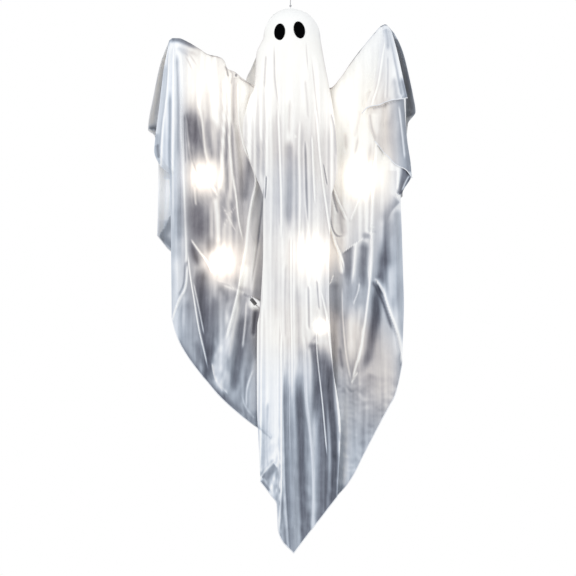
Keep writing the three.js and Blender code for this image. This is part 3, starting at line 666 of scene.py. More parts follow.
arms = {
    "ridge": [
        (-268, 70), (-262, 65.5), (-248, 66), (-227.5, 74.6), (-204, 88.3), (-184, 101.7), (-156.5, 108.4),
        (-148, 115.2), (-140, 133.7), (-124.7, 140.3), (-106, 155.8), (-83, 169), (-34, 176), (34, 178),
        (88, 176.5), (112.5, 151.8), (132, 123.6), (160, 86.7), (188, 53.2), (202, 39), (211, 35.3),
        (223.5, 46.3), (230, 54),
    ],
    "hands": [(-250, 77), (204, 50)],
    "hand": 15,  # the hand ball's radius with room round it
    "lift": 5,
    "depth": 31.4,
    "spread": 22,
}
drape = {
    "rows": 1.35,  # above 1, rows lie closer together at the top
    "foldStart": 20,  # below the arm, where folds start, and how long they grow
    "foldGrow": 130,
    "rim": 16,  # the cloth turns in this near to its outer edge, to this share of its depth
    "rimDepth": 0.3,
    "paintedCrestShade": (0.2, 2.2),  # painted shade along its upper edge: how much darker, and how far down
    "gathers": 0.8,  # the share of its flat rectangle that a panel's cloth fills
}
ridge = smoothLine([(x, drop - arms["lift"]) for x, drop in arms["ridge"]])


def handBulge(x, drop):
    clear = [np.maximum(arms["hand"] ** 2 - (x - hx) ** 2 - (drop - hd) ** 2, 0) for hx, hd in arms["hands"]]
    return np.sqrt(np.maximum(*clear))


def fallLines(lines, u):
    # the x of each column at the top, half way and at the hem, and how far it stands out
    at = np.arange(len(lines)) / (len(lines) - 1)
    return [smoothLine(list(zip(at, values)))(u) for values in zip(*lines)]


def along(top, middle, hem, t):
    return top * (1 - t) * (1 - 2 * t) + 4 * middle * t * (1 - t) + hem * t * (2 * t - 1)


def gownCloth(panel):
    columns, rows = panel["grid"]
    u, v = np.meshgrid(np.linspace(0, 1, columns + 1), np.linspace(0, 1, rows + 1))
    t = v ** drape["rows"]
    top, middle, hem, out = fallLines(panel["lines"], u)
    high = ridge(top)
    drop = high + (smoothLine(panel["hem"])(hem) - high) * t
    x = along(top, middle, hem, t)
    strips = len(panel["lines"]) - 1
    first = fallLines(panel["lines"], np.full_like(u, 1 / strips))
    share = u * strips
    outer = smoothLine(panel["edge"])(drop)
    x = np.where(share < 1, outer * (1 - share) + along(*first[:3], t) * share, x)
    fold = out * ease((drop - high - drape["foldStart"]) / drape["foldGrow"])
    deep = arms["depth"] * (1 - np.exp((high - drop) / arms["spread"]))
    deep *= drape["rimDepth"] + (1 - drape["rimDepth"]) * ease(np.abs(x - outer) / drape["rim"])
    deep = panel["side"] * np.maximum(deep + fold, handBulge(x, drop))
    cloth = Cloth(x, deep, drop, panel)
    # painted shade just below the cloth's upper edge
    darker, reach = drape["paintedCrestShade"]
    cloth.tone -= darker * np.exp(-(drop - high) / reach)
    return cloth


def evenly(points, count):
    # points spread evenly along a smooth curve
    line = rounded(points, 8) if len(points) > 2 else np.array(points, float)
    past = np.concatenate([[0], np.cumsum(np.hypot(*np.diff(line, axis=0).T))])
    at = np.linspace(0, past[-1], count)
    return np.stack([np.interp(at, past, line[:, 0]), np.interp(at, past, line[:, 1])], axis=-1)


layering = {
    "grid": 60,
    "nearest": 12,  # of the points below it, how many are looked at for how deep it lies
    "smoothings": 3,
    "least": 0.4,  # how far it lies off the cloth at its top, and over what share it comes fully away
    "away": 6,
}


def layerCloth(layer, below):
    # a smaller layer between four curves, lying a little proud of the cloth below it
    size = layering["grid"]
    top, hem, left, right = (evenly(layer[key], size + 1) for key in ("top", "hem", "left", "right"))
    u, v = np.meshgrid(np.linspace(0, 1, size + 1), np.linspace(0, 1, size + 1))
    u, v = u[..., None], v[..., None]
    spot = (1 - v) * top + v * hem + (1 - u) * left[:, None] + u * right[:, None]
    spot -= (1 - u) * ((1 - v) * top[0] + v * hem[0]) + u * ((1 - v) * top[-1] + v * hem[-1])
    x, drop = spot[..., 0], spot[..., 1]
    tree = KDTree(below.x.size)
    for i, point in enumerate(zip(below.x.ravel(), below.drop.ravel())):
        tree.insert((*point, 0), i)
    tree.balance()
    beneath = below.y.ravel()
    deep = np.array([
        min(beneath[i] for _, i, _ in tree.find_n((a, b, 0), layering["nearest"]))
        for a, b in zip(x.ravel(), drop.ravel())
    ]).reshape(x.shape)
    for _ in range(layering["smoothings"]):
        deep[1:-1, 1:-1] = (deep[:-2, 1:-1] + deep[2:, 1:-1] + deep[1:-1, :-2] + deep[1:-1, 2:]) / 4
    proud = layer["proud"] * ease(v[..., 0] * layering["away"]) + layering["least"]
    return Cloth(x, np.minimum(deep, 0) - proud, drop, layer)


# Each panel's edge, hem and fall lines, and its folds with the light and shade painted on them
gownLeftFront = {
    "side": -1,
    "grid": (180, 240),
    "edge": [
        (65, -269), (125, -281), (215, -292), (287, -301), (312, -303), (345, -290), (366, -268),
        (566, -265), (681, -264),
    ],
    "hem": [
        (-264, 681), (-260, 696), (-240, 748), (-200, 805), (-142, 871), (-87, 916), (-44, 944), (-8, 960),
    ],
    "lines": [
        (-268, -284, -264, 0), (-257, -255, -257, 8), (-245, -241, -234, -4), (-234, -229, -196, 8),
        (-205, -187, -182, -6), (-150, -118, -164, 6), (-126, -102, -130, -4), (-106, -86, -92, 6),
        (-74, -60, -60, -4), (-34, -26, -8, 0),
    ],
    "fade": [
        (60, 0.97), (200, 0.97), (250, 0.94), (290, 0.86), (420, 0.78), (520, 0.8), (600, 0.72), (700, 0.66),
        (930, 0.64),
    ],
    "wrinkles": [(17, 240, 2.2, 11), (7, 120, 0.8, 12, 0.8), (9, 34, 0.8, 13, 1, (640, 150, 0))],
    "crumple": {"centre": (-155, 790), "size": (30, 60), "wrinkle": (8, 15, 0.9, 14, 1.6)},
    "folds": [
        # the sleeve's outer side
        ((-277, 114, -284, 180, -288, 246, -292, 312), 6.6, 11, 0, 0.82, 0.1, 0.1),
        ((-297, 273, -295, 295, -292, 308), 6.6, 6.6, -1, 0.74),
        ((-295, 297, -293, 317, -291, 330), 6.6, 4.4, -3, 0.6),
        ((-270, 83, -271, 136, -274, 187, -281, 242, -285, 290, -289, 348), 1.1, 6.6, 3, 0.93, 0.1, 0.02),
        ((-266, 176, -266, 257, -266, 335, -259, 423, -257, 489), 4.4, 4.4, -2, 0.74, 0.1, 0.2),
        ((-259, 81, -259, 136, -259, 202, -261, 335, -259, 511), 3.5, 4, 4, 0.94, 0.02, 0.2),
        ((-252, 92, -250, 158, -249, 224, -249, 290, -248, 346), 3.5, 4.9, -3, 0.76, 0.1, 0.2),
        ((-250, 423, -248, 456, -246, 522), 8.8, 11, -2, 0.68, 0.3, 0.3),
        ((-235, 229, -234, 290, -231, 346), 2, 2, -2, 0.74),
        ((-242, 92, -242, 180, -242, 268, -239, 335, -235, 423, -231, 533, -231, 564),
         2.9, 3.3, 5, 1, 0.1, 0.02),
        ((-231, 235, -226, 290, -220, 339), 1.5, 1.8, 2, 0.96),
        # deep places between the lamps, in painted shade
        ((-212, 273), 20.7, 53, -4, 0.43, -9, 2.8),
        ((-233, 224, -226, 255, -222, 286), 6.6, 8.8, -2, 0.52, 0.35, 0.4),
        ((-206, 229, -200, 268, -193, 312), 1.8, 2, 1, 0.58),
        ((-200, 215, -195, 257, -189, 312, -182, 348), 2.2, 2.6, 2, 0.9, 0.1, 0.2),
        ((-186, 233, -180, 286, -171, 343), 5.7, 13.2, -3, 0.68, 0.35, 0.25),
        ((-164, 251, -160, 301, -158, 352), 8.8, 6.6, -1, 0.74, 0.3, 0.3),
        ((-141, 229, -141, 279, -142, 335, -140, 390, -145, 423), 4.4, 4.9, -3, 0.66, 0.25, 0.2),
        ((-125, 149, -126, 191, -125, 235, -122, 268), 5.7, 5.7, -3, 0.82, 0.02, 0.3),
        ((-131, 242, -129, 290, -125, 357, -122, 401), 3.5, 3.5, -3, 0.74, 0.2, 0.2),
        ((-114, 237, -111, 301, -109, 387), 7.5, 11, 2, 0.9, 0.3, 0.3),
        ((-87, 308, -92, 346, -98, 401, -103, 434), 9.9, 11, -6, 0.6, 0.2, 0.2),
        ((-70, 414, -81, 478, -92, 544, -105, 621), 7.1, 7.5, 0, 0.87, 0.2, 0.2),
        ((-58, 392, -65, 456, -74, 533, -87, 617), 2.6, 2.4, -2, 0.64, 0.3),
        ((-74, 370, -76, 414, -81, 463), 8.8, 6.6, 1, 0.86, 0.2, 0.3),
        ((-58, 456, -63, 522, -67, 610), 4.4, 5.3, 0, 0.76, 0.2, 0.2),
        ((-221, 319), 8.8, 17.7, 0, 0.6),
        ((-173, 262), 11, 19.9, 0, 0.8),
        ((-205, 469), 24.3, 53, -4, 0.46, -6, 2.8),
        ((-222, 498, -215, 533, -206, 560, -200, 577), 8.8, 8.8, -2, 0.36, 0.55, 0.3),
        ((-178, 522), 11, 17.7, 0, 0.52),
        ((-212, 392, -211, 414, -209, 436), 1.8, 1.8, 2, 0.8),
        ((-147, 396, -147, 434, -149, 489), 6.6, 7.5, -2, 0.7, 0.3, 0.3),
        ((-134, 414, -127, 449, -116, 485), 6.6, 6.6, -3, 0.68, 0.3, 0.3),
        ((-253, 529, -250, 588, -244, 655, -239, 723), 13.2, 12.1, 1, 0.94, 0.2, 0.2),
        ((-200, 560, -200, 610, -195, 655, -189, 721, -182, 776, -184, 829),
         11, 17.7, -8, 0.41, 0.14, 0.08, 2.6),
        ((-226, 635, -226, 670, -224, 710), 6.6, 6.6, -1, 0.6, 0.3, 0.3),
        ((-209, 727, -200, 763, -189, 798), 11, 6.6, -1, 0.5, 0.3, 0.3),
        ((-169, 626, -169, 677, -171, 732, -175, 758), 9.9, 8.8, -3, 0.55, 0.2, 0.2),
        ((-164, 608, -147, 628, -134, 655), 11, 11, -3, 0.62, 0.3, 0.3),
        ((-116, 630, -118, 670, -129, 723, -136, 780), 6.6, 6.6, 3, 0.96, 0.2, 0.2),
        ((-98, 560, -100, 595, -105, 630), 11, 11, 1, 0.98, 0.2, 0.3),
        ((-76, 507, -81, 564, -87, 639), 8.8, 8.8, 1, 0.93, 0.2, 0.2),
        ((-134, 789, -129, 820, -118, 851), 8.8, 8.8, -1, 0.54, 0.3, 0.3),
        ((-220, 643, -226, 699, -222, 743, -206, 794), 6.6, 7.5, -2, 0.7, 0.3, 0.2),
        ((-246, 577, -253, 643, -255, 699, -244, 743), 11, 11, 2, 0.88, 0.3, 0.2),
        ((-237, 635, -242, 688, -235, 736), 5.5, 5.5, -1, 0.76, 0.3, 0.3),
        ((-147, 655, -136, 699, -138, 743, -151, 780), 9.9, 11, 4, 0.9, 0.3, 0.3),
        ((-151, 741, -167, 780, -160, 824, -142, 851), 8.8, 13.2, 3, 0.8, 0.3, 0.25),
        ((-98, 670, -105, 721, -111, 758, -120, 798, -129, 855), 11, 9.9, -6, 0.5, 0.15, 0.2, 2.2),
        ((-76, 661, -79, 688, -83, 725), 4.9, 6.6, -4, 0.45, 0.15, 0.15),
        ((-98, 643, -100, 688, -107, 754), 2.6, 3.3, 2, 0.86),
        ((-72, 758, -78, 802, -83, 853, -81, 904), 9.9, 17.7, 2, 0.86, 0.25, 0.15, 2.4),
        ((-81, 794, -96, 838, -98, 882), 2.2, 2.6, 1, 0.92),
        ((-111, 846, -98, 882, -76, 908), 2.2, 3.1, 1, 0.82),
        ((-105, 829, -111, 860, -116, 882), 8.8, 8.8, -1, 0.66, 0.3, 0.3),
        ((-151, 758), 14.3, 61.8, 2, 0.86, 6, 2.4),
        ((-147, 816), 17.7, 28.7, 1, 0.83, 0, 2.4),
    ],
    "rims": [
        ((-175, 780, -169, 811, -158, 833, -136, 853), 2, 4.4, 3, 0.95),
        ((-253, 732, -222, 778, -186, 822, -138, 869, -96, 899), 9.9, 6.6, -1, 0.5, 0.1, 0.1),
        # ridges that catch the light
        ((-228, 533, -222, 588, -213, 643, -202, 710, -191, 758, -182, 802), 1.8, 2.2, 4, 0.97),
        ((-215, 602, -202, 666, -191, 723), 1.8, 1.8, 2, 0.82),
        ((-228, 560, -233, 617, -246, 643, -259, 677, -264, 694), 2.6, 2.6, 5, 1, 0.15, 0.02),
        ((-234, 560, -237, 608, -248, 637), 1.8, 1.8, -1, 0.7),
        ((-149, 149, -147, 202, -147, 257, -151, 312, -153, 368, -160, 414), 2.6, 2.9, 4, 1, 0.15, 0.1),
        ((-138, 211, -136, 268, -134, 312, -127, 368, -120, 418, -114, 471, -103, 522),
         2, 2, 5, 0.98, 0.1, 0.1),
        ((-117, 158, -116, 224, -111, 268, -103, 306, -89, 337, -79, 365, -77, 387, -83, 423),
         2.2, 5.3, 6, 0.98, 0.05, 0.1),
        ((-76, 379, -85, 423, -94, 471, -100, 531, -109, 588, -120, 643, -131, 688, -145, 736),
         3.1, 5.7, 8, 1, 0.1, 0.1),
        ((-222, 312, -213, 346, -193, 390), 1.5, 1.5, -1, 0.74),
        ((-222, 507, -204, 533, -184, 560, -171, 586), 2.6, 2.6, 3, 0.92),
        ((-169, 414, -164, 445, -162, 478, -160, 522), 5.5, 6.6, 3, 0.9),
        ((-182, 381, -171, 394, -162, 414), 1.8, 1.8, 2, 0.94),
        ((-151, 434, -134, 467, -120, 493), 1.3, 1.3, 1, 0.88),
        ((-120, 434, -136, 458, -149, 485), 1.3, 1.3, 1, 0.86),
        # where the hand and the shoulder hold it up, with painted shade in the gathers
        ((-266, 63, -244, 66, -222, 76, -200, 88), 6.6, 7.1, 0, 0.52, 0.03, 0.35, 2.4),
        ((-277, 81, -273, 70, -264, 63), 4.4, 5.3, 0, 0.66, 0.2, 0.02),
        ((-244, 85, -235, 94, -222, 107), 4.4, 4.4, -1, 0.78, 0.3, 0.5),
        ((-237, 98, -226, 116, -215, 140), 2.4, 2.4, -1, 0.88, 0.3, 0.5),
        ((-228, 94, -217, 109, -204, 129), 2.4, 2.4, -1, 0.89, 0.3, 0.5),
        ((-255, 83, -235, 91, -215, 97, -200, 107), 5.7, 5.7, 0, 0.84, 0.2, 0.4),
        ((-145, 123, -141, 134, -138, 149), 2, 2, -2, 0.68),
        ((-136, 132, -129, 140, -131, 167), 2.6, 2.6, -1, 0.82),
        ((-121, 144), 2.6, 4, -1, 0.5),
        ((-116, 147, -105, 156, -92, 162, -81, 173), 1.5, 1.5, 0, 0.74),
        # the back panel's hem shows through: painted light and shade, and the cloth opens a little there
        ((-171, 597, -134, 610, -94, 630, -63, 650), 1.1, 6.6, 0, 0.8),
        ((-151, 608, -116, 621, -85, 637), 5.3, 1.3, 0, 0.94),
        ((-81, 657), 15.4, 8.8, 0, 1, 25),
        ((-105, 630, -89, 638), 3.1, 3.1, 0, 0.58),
        ((-78, 648), 17.7, 11, 0, None, 25, 4, 0.85),
    ],
}


def leftFrontFolds(cloth):
    cloth.ruffle()
    cloth.fold(cloth.panel["folds"])
    crumple = cloth.panel["crumple"]
    (x, drop), (wide, tall) = crumple["centre"], crumple["size"]
    away = np.hypot((cloth.x - x) / wide, (cloth.drop - drop) / tall)
    cloth.wrinkle(*crumple["wrinkle"], where=np.exp(-away ** 2))
    cloth.fold(cloth.panel["rims"])


gownRightFront = {
    "side": -1,
    "grid": (170, 270),
    "edge": [
        (50, 223), (60, 226), (94, 235.5), (150, 248.5), (187, 256), (251, 257), (288, 260), (366, 269),
        (400, 251), (415, 245), (480, 247), (575, 250), (655, 252), (712, 250.5), (785, 248),
    ],
    "hem": [
        (8, 1197), (47.4, 1146.6), (93, 1089), (131, 1043), (169, 972), (219.6, 875), (229, 858.6),
        (242.7, 811), (248, 785),
    ],
    "lines": [
        (222, 250, 248, 0), (215, 222, 208, 4), (210, 199, 172, -5), (200, 178, 134, 8), (166, 144, 98, -5),
        (140, 121, 74, 5), (112, 97, 52, -4), (82, 66, 30, 3), (34, 26, 9, 0),
    ],
    "fade": [
        (30, 0.99), (300, 1), (380, 0.97), (480, 0.92), (550, 0.85), (610, 0.74), (800, 0.76), (1200, 0.72),
    ],
    "wrinkles": [
        (17, 240, 2.2, 21, 0.5, (330, 150, 0.35)), (7, 120, 0.8, 22, 0.8, (330, 150, 0.35)),
        (20, 13, 1, 23, 0.9, (780, 90, 0)), (9, 6, 0.35, 24, 1.2, (780, 90, 0)),
    ],
    "folds": [
        ((125, 846, 122, 930, 116, 1019, 111, 1063), 19.9, 19.9, 0, 0.8, 0.2, 0.1),
        ((206, 754, 197, 842, 180, 908, 158, 979), 33.1, 30.9, 0, 0.8, 0.3, 0.2),
        # painted shade and highlights under the sleeve's layers
        ((257, 348, 253, 379, 246, 410), 11, 17.7, -3, 0.46, 0.02, 0.02, 4),
        ((266, 365, 257, 379, 248, 401), 1.8, 1.8, 2, 0.86),
        ((268, 376, 259, 387, 250, 403), 1.5, 1.5, 2, 0.82),
        ((239, 352, 239, 370, 237, 401), 2.6, 1.1, 2, 0.97),
        ((226, 357, 222, 396, 211, 432), 15.4, 11, 0, 0.92, 0.02, 0.2),
        ((244, 423, 228, 440, 217, 458, 211, 480), 15.4, 2.2, 0, 0.66, 0.1, 0.3),
        ((237, 438, 233, 478, 231, 522), 13.2, 13.2, 0, 0.7, 0.2, 0.3),
        ((239, 449, 237, 522, 235, 588), 13.2, 13.2, 0, 0.7, 0.3, 0.3),
        ((213, 436, 211, 500, 213, 588, 215, 688), 6.6, 13.2, -3, 0.57, 0.2, 0.35, 2),
    ],
    "tuckedUnder": [(100, 553), (116, 540), (136, 525), (156, 512), (169, 502), (180, 485)],
    "tucked": [
        ((125, 502, 127, 560, 131, 621), 12.1, 12.1, -5, 0.55, 0.01, 0.3, 2.8),
        ((167, 507, 162, 555, 158, 626), 13.2, 11, -5, 0.54, 0.2, 0.35, 2.4),
        ((147, 493, 142, 560, 134, 621), 4.4, 5.3, 2, 0.97, 0.01, 0.3),
    ],
    "rims": [
        ((116, 538, 136, 523, 156, 510, 175, 487), 1.8, 0.9, 1, 0.97),
        ((96, 599, 100, 643, 105, 699), 11, 11, -3, 0.64, 0.15, 0.4, 2.2),
        ((109, 434, 111, 471, 118, 507), 6.6, 11, -3, 0.84, 0.3, 0.2),
        ((209, 489, 206, 560, 200, 604, 191, 643, 189, 677, 184, 710, 178, 745, 169, 778, 153, 816),
         11, 9.9, -6, 0.46, 0.22, 0.15, 2.4),
        ((191, 626, 189, 677, 183, 714, 173, 758), 6.6, 6.6, -2, 0.46, 0.3, 0.3),
        ((118, 661, 116, 710, 120, 776), 6.6, 7.7, -2, 0.6, 0.2, 0.3),
        ((136, 635, 136, 721, 134, 807), 13.2, 15.4, 3, 0.92, 0.35, 0.35),
        ((158, 643, 149, 699, 145, 743), 6.6, 6.6, 1, 0.88, 0.3, 0.3),
        ((215, 688, 215, 754, 209, 842), 26.5, 26.5, 0, 0.82, 0.35, 0.3),
        ((213, 855, 193, 891, 167, 935, 136, 992), 24.3, 19.9, 0, 0.67, 0.3, 0.2),
        ((136, 853, 136, 930, 131, 1001), 17.7, 22.1, 1, 0.74, 0.1, 0.1, 3),
        ((109, 741, 111, 769, 116, 802), 5.7, 5.7, -2, 0.56, 0.3, 0.3),
        ((118, 855, 122, 930, 120, 1008, 116, 1063), 11, 13.2, 0, 0.9, 0.2, 0.1),
        ((180, 802, 171, 831, 149, 855), 13.2, 13.2, -1, 0.68, 0.2, 0.2),
        ((164, 864, 162, 930, 158, 986), 5.7, 6.6, -1, 0.7, 0.3, 0.3),
        # ridges, with painted highlights and shade
        ((193, 229, 189, 312, 182, 401, 178, 487), 3.1, 4.9, 6, 1, 0.1, 0.02),
        ((178, 478, 180, 553, 173, 624, 162, 710, 153, 758, 142, 798, 134, 833), 2.9, 3.3, 8, 1, 0.02, 0.1),
        ((56, 224, 63, 312, 72, 357, 81, 423, 89, 478, 98, 515, 116, 560, 120, 591), 2.6, 3.1, 5, 1),
        ((103, 524, 111, 560, 116, 591), 5.7, 3.5, 2, 0.99, 0.2, 0.2),
        ((180, 493, 177, 553, 171, 617), 5.3, 4.9, 4, 1, 0.02, 0.3),
        ((222, 555, 222, 610, 224, 657), 8.8, 8.8, 0, 0.87, 0.3, 0.3),
        ((160, 692, 157, 743, 149, 789), 5.3, 4, 2, 1, 0.3, 0.3),
        ((81, 346, 89, 379, 100, 412, 125, 469), 2, 2.6, 4, 1, 0.1, 0.1),
        ((89, 379, 96, 423, 105, 454), 1.3, 4.4, -2, 0.74),
        ((160, 390, 147, 434, 131, 471), 2.2, 2.9, 4, 0.98),
        ((74, 370, 81, 412, 87, 454, 94, 489, 105, 502, 122, 500), 1.5, 1.5, -2, 0.6),
        ((167, 502), 7.7, 7.7, -2, 0.72),
        ((78, 613, 87, 608, 96, 586), 1.3, 1.3, 1, 0.95),
        ((138, 655, 149, 626, 153, 604), 2, 2, 2, 0.88),
        ((114, 610, 116, 688, 125, 776, 136, 831), 2.6, 2.6, 2, 0.82),
        ((184, 595, 202, 621, 217, 666, 233, 710, 244, 754, 246, 789), 1.1, 8.8, 5, 0.97, 0.05, 0.05),
        ((180, 599, 197, 628, 213, 670, 228, 714), 5.5, 1.3, -3, 0.52, 0.1, 0.2),
        ((233, 643, 237, 710, 239, 780), 8.8, 8.8, 0, 0.93, 0.3, 0.2),
        ((134, 829, 140, 818, 149, 802), 2.2, 2.2, 2, 0.92),
        ((120, 829, 136, 846, 153, 835), 2.6, 3.5, -1, 0.68, 0.4, 0.4),
        ((151, 273, 147, 299, 140, 330), 3.5, 3.5, -1, 0.88, 0.4, 0.4),
        ((120, 264, 122, 290, 122, 321), 5.3, 5.3, -1, 0.9, 0.4, 0.4),
        ((156, 220, 149, 255, 142, 286), 4.4, 4.4, 0, 0.93),
        ((180, 286, 175, 324, 169, 361), 5.7, 5.7, -1, 0.88, 0.4, 0.4),
        ((87, 176, 94, 167, 103, 158), 1.8, 3.1, 0, 0.72),
    ],
}
sleeveLayers = [
    {
        "top": [(167, 184), (209, 176), (250, 180)],
        "hem": [(186, 293), (202, 312), (217, 328), (231, 343), (242, 349), (255, 355), (270, 372)],
        "left": [(167, 184), (169, 224), (173, 257), (186, 293)],
        "right": [(250, 180), (255, 242), (259, 290), (266, 335), (270, 372)],
        "side": -1,
        "proud": 2.2,
        "fade": [(180, 0.9), (280, 0.87), (340, 0.84)],
        "wrinkles": [(12, 200, 0.7, 51, 0.8)],
        "folds": [
            ((246, 189, 248, 257, 253, 312, 261, 361), 19.9, 11, -1, 0.7, 0.02, 0.02),
            ((233, 207, 228, 242, 235, 282), 11, 11, -1, 0.78, 0.1, 0.4),
            ((180, 220, 197, 216, 220, 208, 242, 203), 4, 0.9, -1, 0.76, 0.05, 0.05),
            ((253, 198, 257, 257, 261, 301, 268, 361), 12.1, 8.8, -1, 0.58, 0.02, 0.02),
            ((239, 211, 246, 268, 253, 335), 2.2, 3.3, 2, 0.84),
            ((220, 224, 222, 279, 226, 330), 8.8, 11, 0, 0.77, 0.3, 0.3),
            ((184, 229, 184, 257, 191, 286), 11, 8.8, 0, 0.96, 0.1, 0.3),
            ((175, 229, 180, 264, 189, 290), 3.1, 3.1, -1, 0.84),
        ],
    },
    {
        "top": [(204, 40), (213, 37), (223, 48)],
        "hem": [
            (158, 231), (169, 219), (182, 215), (195, 213), (206, 208), (224, 202), (239, 200), (250, 198),
            (259, 196),
        ],
        "left": [(204, 40), (195, 103), (180, 176), (158, 231)],
        "right": [(223, 48), (235, 92), (245, 136), (252, 167), (259, 196)],
        "side": -1,
        "proud": 4.6,
        "fade": [(30, 0.9), (60, 0.95), (150, 0.95), (215, 0.9)],
        "wrinkles": [(12, 200, 0.7, 52, 0.8)],
        "folds": [
            ((211, 45, 215, 70, 215, 96), 5.3, 5.3, -1, 0.76, 0.02, 0.3),
            ((217, 48, 226, 92, 237, 147, 246, 193), 3.5, 4.4, -2, 0.84, 0.02, 0.05),
            ((209, 70, 202, 114, 193, 169, 178, 215), 2.2, 2.6, 1, 1),
            ((215, 103, 215, 147, 213, 202), 2.6, 3.1, -1, 0.89),
            ((228, 147, 233, 180, 235, 200), 8.8, 11, -1, 0.82, 0.3, 0.02),
            ((197, 158, 191, 191, 184, 215), 8.8, 8.8, 0, 0.93),
            ((246, 196, 253, 194, 259, 196), 2.2, 2.2, 0, 0.66),
            ((244, 149, 250, 173, 257, 198), 5.5, 6.6, -1, 0.66, 0.3, 0.02),
        ],
    },
]


def rightFrontFolds(cloth):
    cloth.ruffle()
    cloth.fold(cloth.panel["folds"])
    cloth.fold(cloth.panel["tucked"], cloth.panel["tuckedUnder"])
    cloth.fold(cloth.panel["rims"])


def sleeveCloths(below):
    cloths = [below]
    for layer in sleeveLayers:
        cloth = layerCloth(layer, cloths[-1])
        cloth.ruffle()
        cloth.fold(layer["folds"])
        cloths.append(cloth.settle())
    return cloths


# All three back panels: their wrinkles, and how much these shade them up to what depth
backs = {
    "wrinkles": [(34, 400, 5, 41), (14, 200, 2.5, 42), (6.5, 120, 0.8, 43, 0.8)],
    "shade": 0.03,
    "deep": 4,
}


def backFolds(cloth):
    cloth.ruffle()
    deep = backs["deep"]
    cloth.tone += backs["shade"] * np.clip(cloth.out, -deep, deep) / deep
    cloth.fold(cloth.panel.get("folds", ()))


gownLeftBack = {
    "side": 1,
    "grid": (110, 140),
    "edge": [
        (65, -270), (95, -283), (123, -292), (180, -304), (264, -318), (277, -303.5), (330, -295),
        (427, -296), (499, -297.6),
    ],
    "hem": [(-297.6, 499), (-267, 535), (-167, 588), (-63, 650), (-10, 690)],
    "lines": [
        (-270, -299, -297.6, 0), (-252, -258, -262, 6), (-225, -228, -236, -6), (-190, -195, -200, 8),
        (-155, -155, -160, -6), (-115, -118, -120, 7), (-75, -80, -80, -5), (-36, -34, -12, 0),
    ],
    "fade": [(60, 0.9), (260, 0.9), (420, 0.86), (700, 0.76)],
    "wrinkles": backs["wrinkles"],
    # painted glow that lightens a shaded part of this panel's inside
    "glows": [((-280, 400), 0.2, 70)],
    "folds": [
        ((-270, 79, -281, 118, -290, 158, -295, 191, -303, 255), 7.5, 7.5, -1, 0.9, 0.02, 0.02, 3),
        ((-275, 79, -290, 136, -301, 184, -310, 257), 4, 4, 0, 1, 0.1, 0.02),
        ((-314, 262, -306, 260, -297, 264), 2.2, 6.6, 0, 0.5, 0.02, 0.02),
        ((-279, 370, -281, 423, -288, 471), 13.2, 11, 0, 0.95, 0.05, 0.1, 4),
        ((-268, 454, -279, 480, -290, 502, -266, 527), 2.2, 13.2, -1, 0.62, 0.05, 0.02, 4),
    ],
}
gownRightBack = {
    "side": 1,
    "grid": (100, 140),
    "edge": [
        (50, 231), (66, 240.5), (94, 252), (147, 265), (187, 273.5), (224, 279), (251, 262), (300, 258),
        (412, 250),
    ],
    "hem": [(12, 690), (82, 623), (98, 533), (160, 485), (250, 412)],
    "lines": [
        (231, 266, 250, 0), (214, 223, 226, 6), (192, 194, 198, -6), (165, 166, 170, 8), (132, 133, 138, -6),
        (98, 100, 104, 7), (36, 35, 14, 0),
    ],
    "fade": [(50, 0.8), (260, 0.84), (420, 0.82), (700, 0.72)],
    "wrinkles": backs["wrinkles"],
    # painted glow that lightens a shaded part of this panel's inside
    "glows": [((252, 95), 0.05, 45)],
    "folds": [
        ((233, 61, 250, 118, 261, 180, 270, 235), 22.1, 13.2, -1, 0.56, 0.02, 0.02, 4),
        ((235, 79, 246, 118, 255, 171), 1.5, 1.5, 1, 0.56),
        ((253, 202, 261, 215, 275, 224), 3.1, 3.1, 1, 0.62),
    ],
}
# Points on each arm where a sleeve would start to follow its forearm, and from where it would follow it
# wholly
elbows = {
    "left": [place(-120, 0, 160), place(-235, 0, 85)],
    "right": [place(95, 0, 170), place(190, 0, 60)],
}
rolled = {"thick": 2.2, "sides": 8, "pace": 6.5, "stitch": (1.3, 1.3, 0.55), "lean": (0.5, 0.5, 0)}
hemFinish = mottled("hem", tint(216, 220, 228), tint(250, 251, 253), (900, 3), (0.0002,), Roughness=0.75)


def makeHem(name, cloths):
    # a rolled hem with whip stitches along the cloth's last row
    lines = [[place(*spot) for spot in zip(cloth.x[-1], cloth.y[-1], cloth.drop[-1])] for cloth in cloths]
    growth = Growth(name, Thick=rolled["thick"] * mm / 2, Pace=rolled["pace"] * mm)
    line = growth.node("MeshToCurve", {"Mesh": growth.given("Geometry")})
    tube = growth.tube(line, growth.given("Thick"), rolled["sides"])
    spots = growth.node("ResampleCurve", {"Curve": line, "Length": growth.given("Pace")}, mode="LENGTH")
    stitch = growth.node("MeshUVSphere", {"Segments": 6, "Rings": 4, "Radius": 1 * mm})
    tangent = growth.node("InputTangent", {})
    lean = growth.node("FunctionNodeAlignRotationToVector", {"Vector": tangent}, axis="Z")
    tilt = growth.node(
        "FunctionNodeRotateRotation", {"Rotation": lean, "Rotate By": rolled["lean"]}, rotation_space="LOCAL",
    )
    stitches = growth.scattered(spots, stitch, Rotation=tilt, Scale=rolled["stitch"])
    hem = growth.grow(name, growth.join(tube, stitches), hemFinish, lineMesh(name, *lines))
    hem.data.shade_smooth()
    return hem


def makePanel(node, cloths, wide, carry):
    # cloth and hem of one panel
    name = node.split("_", 1)[1]
    piece, hem = makeCloth("sheer_" + name, cloths), makeHem("hem_" + name, cloths)
    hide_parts(node)
    for part in (piece, hem):
        carry(part)
    area = sum(face.area for face in piece.data.polygons)
    area / wide / drape["gathers"]


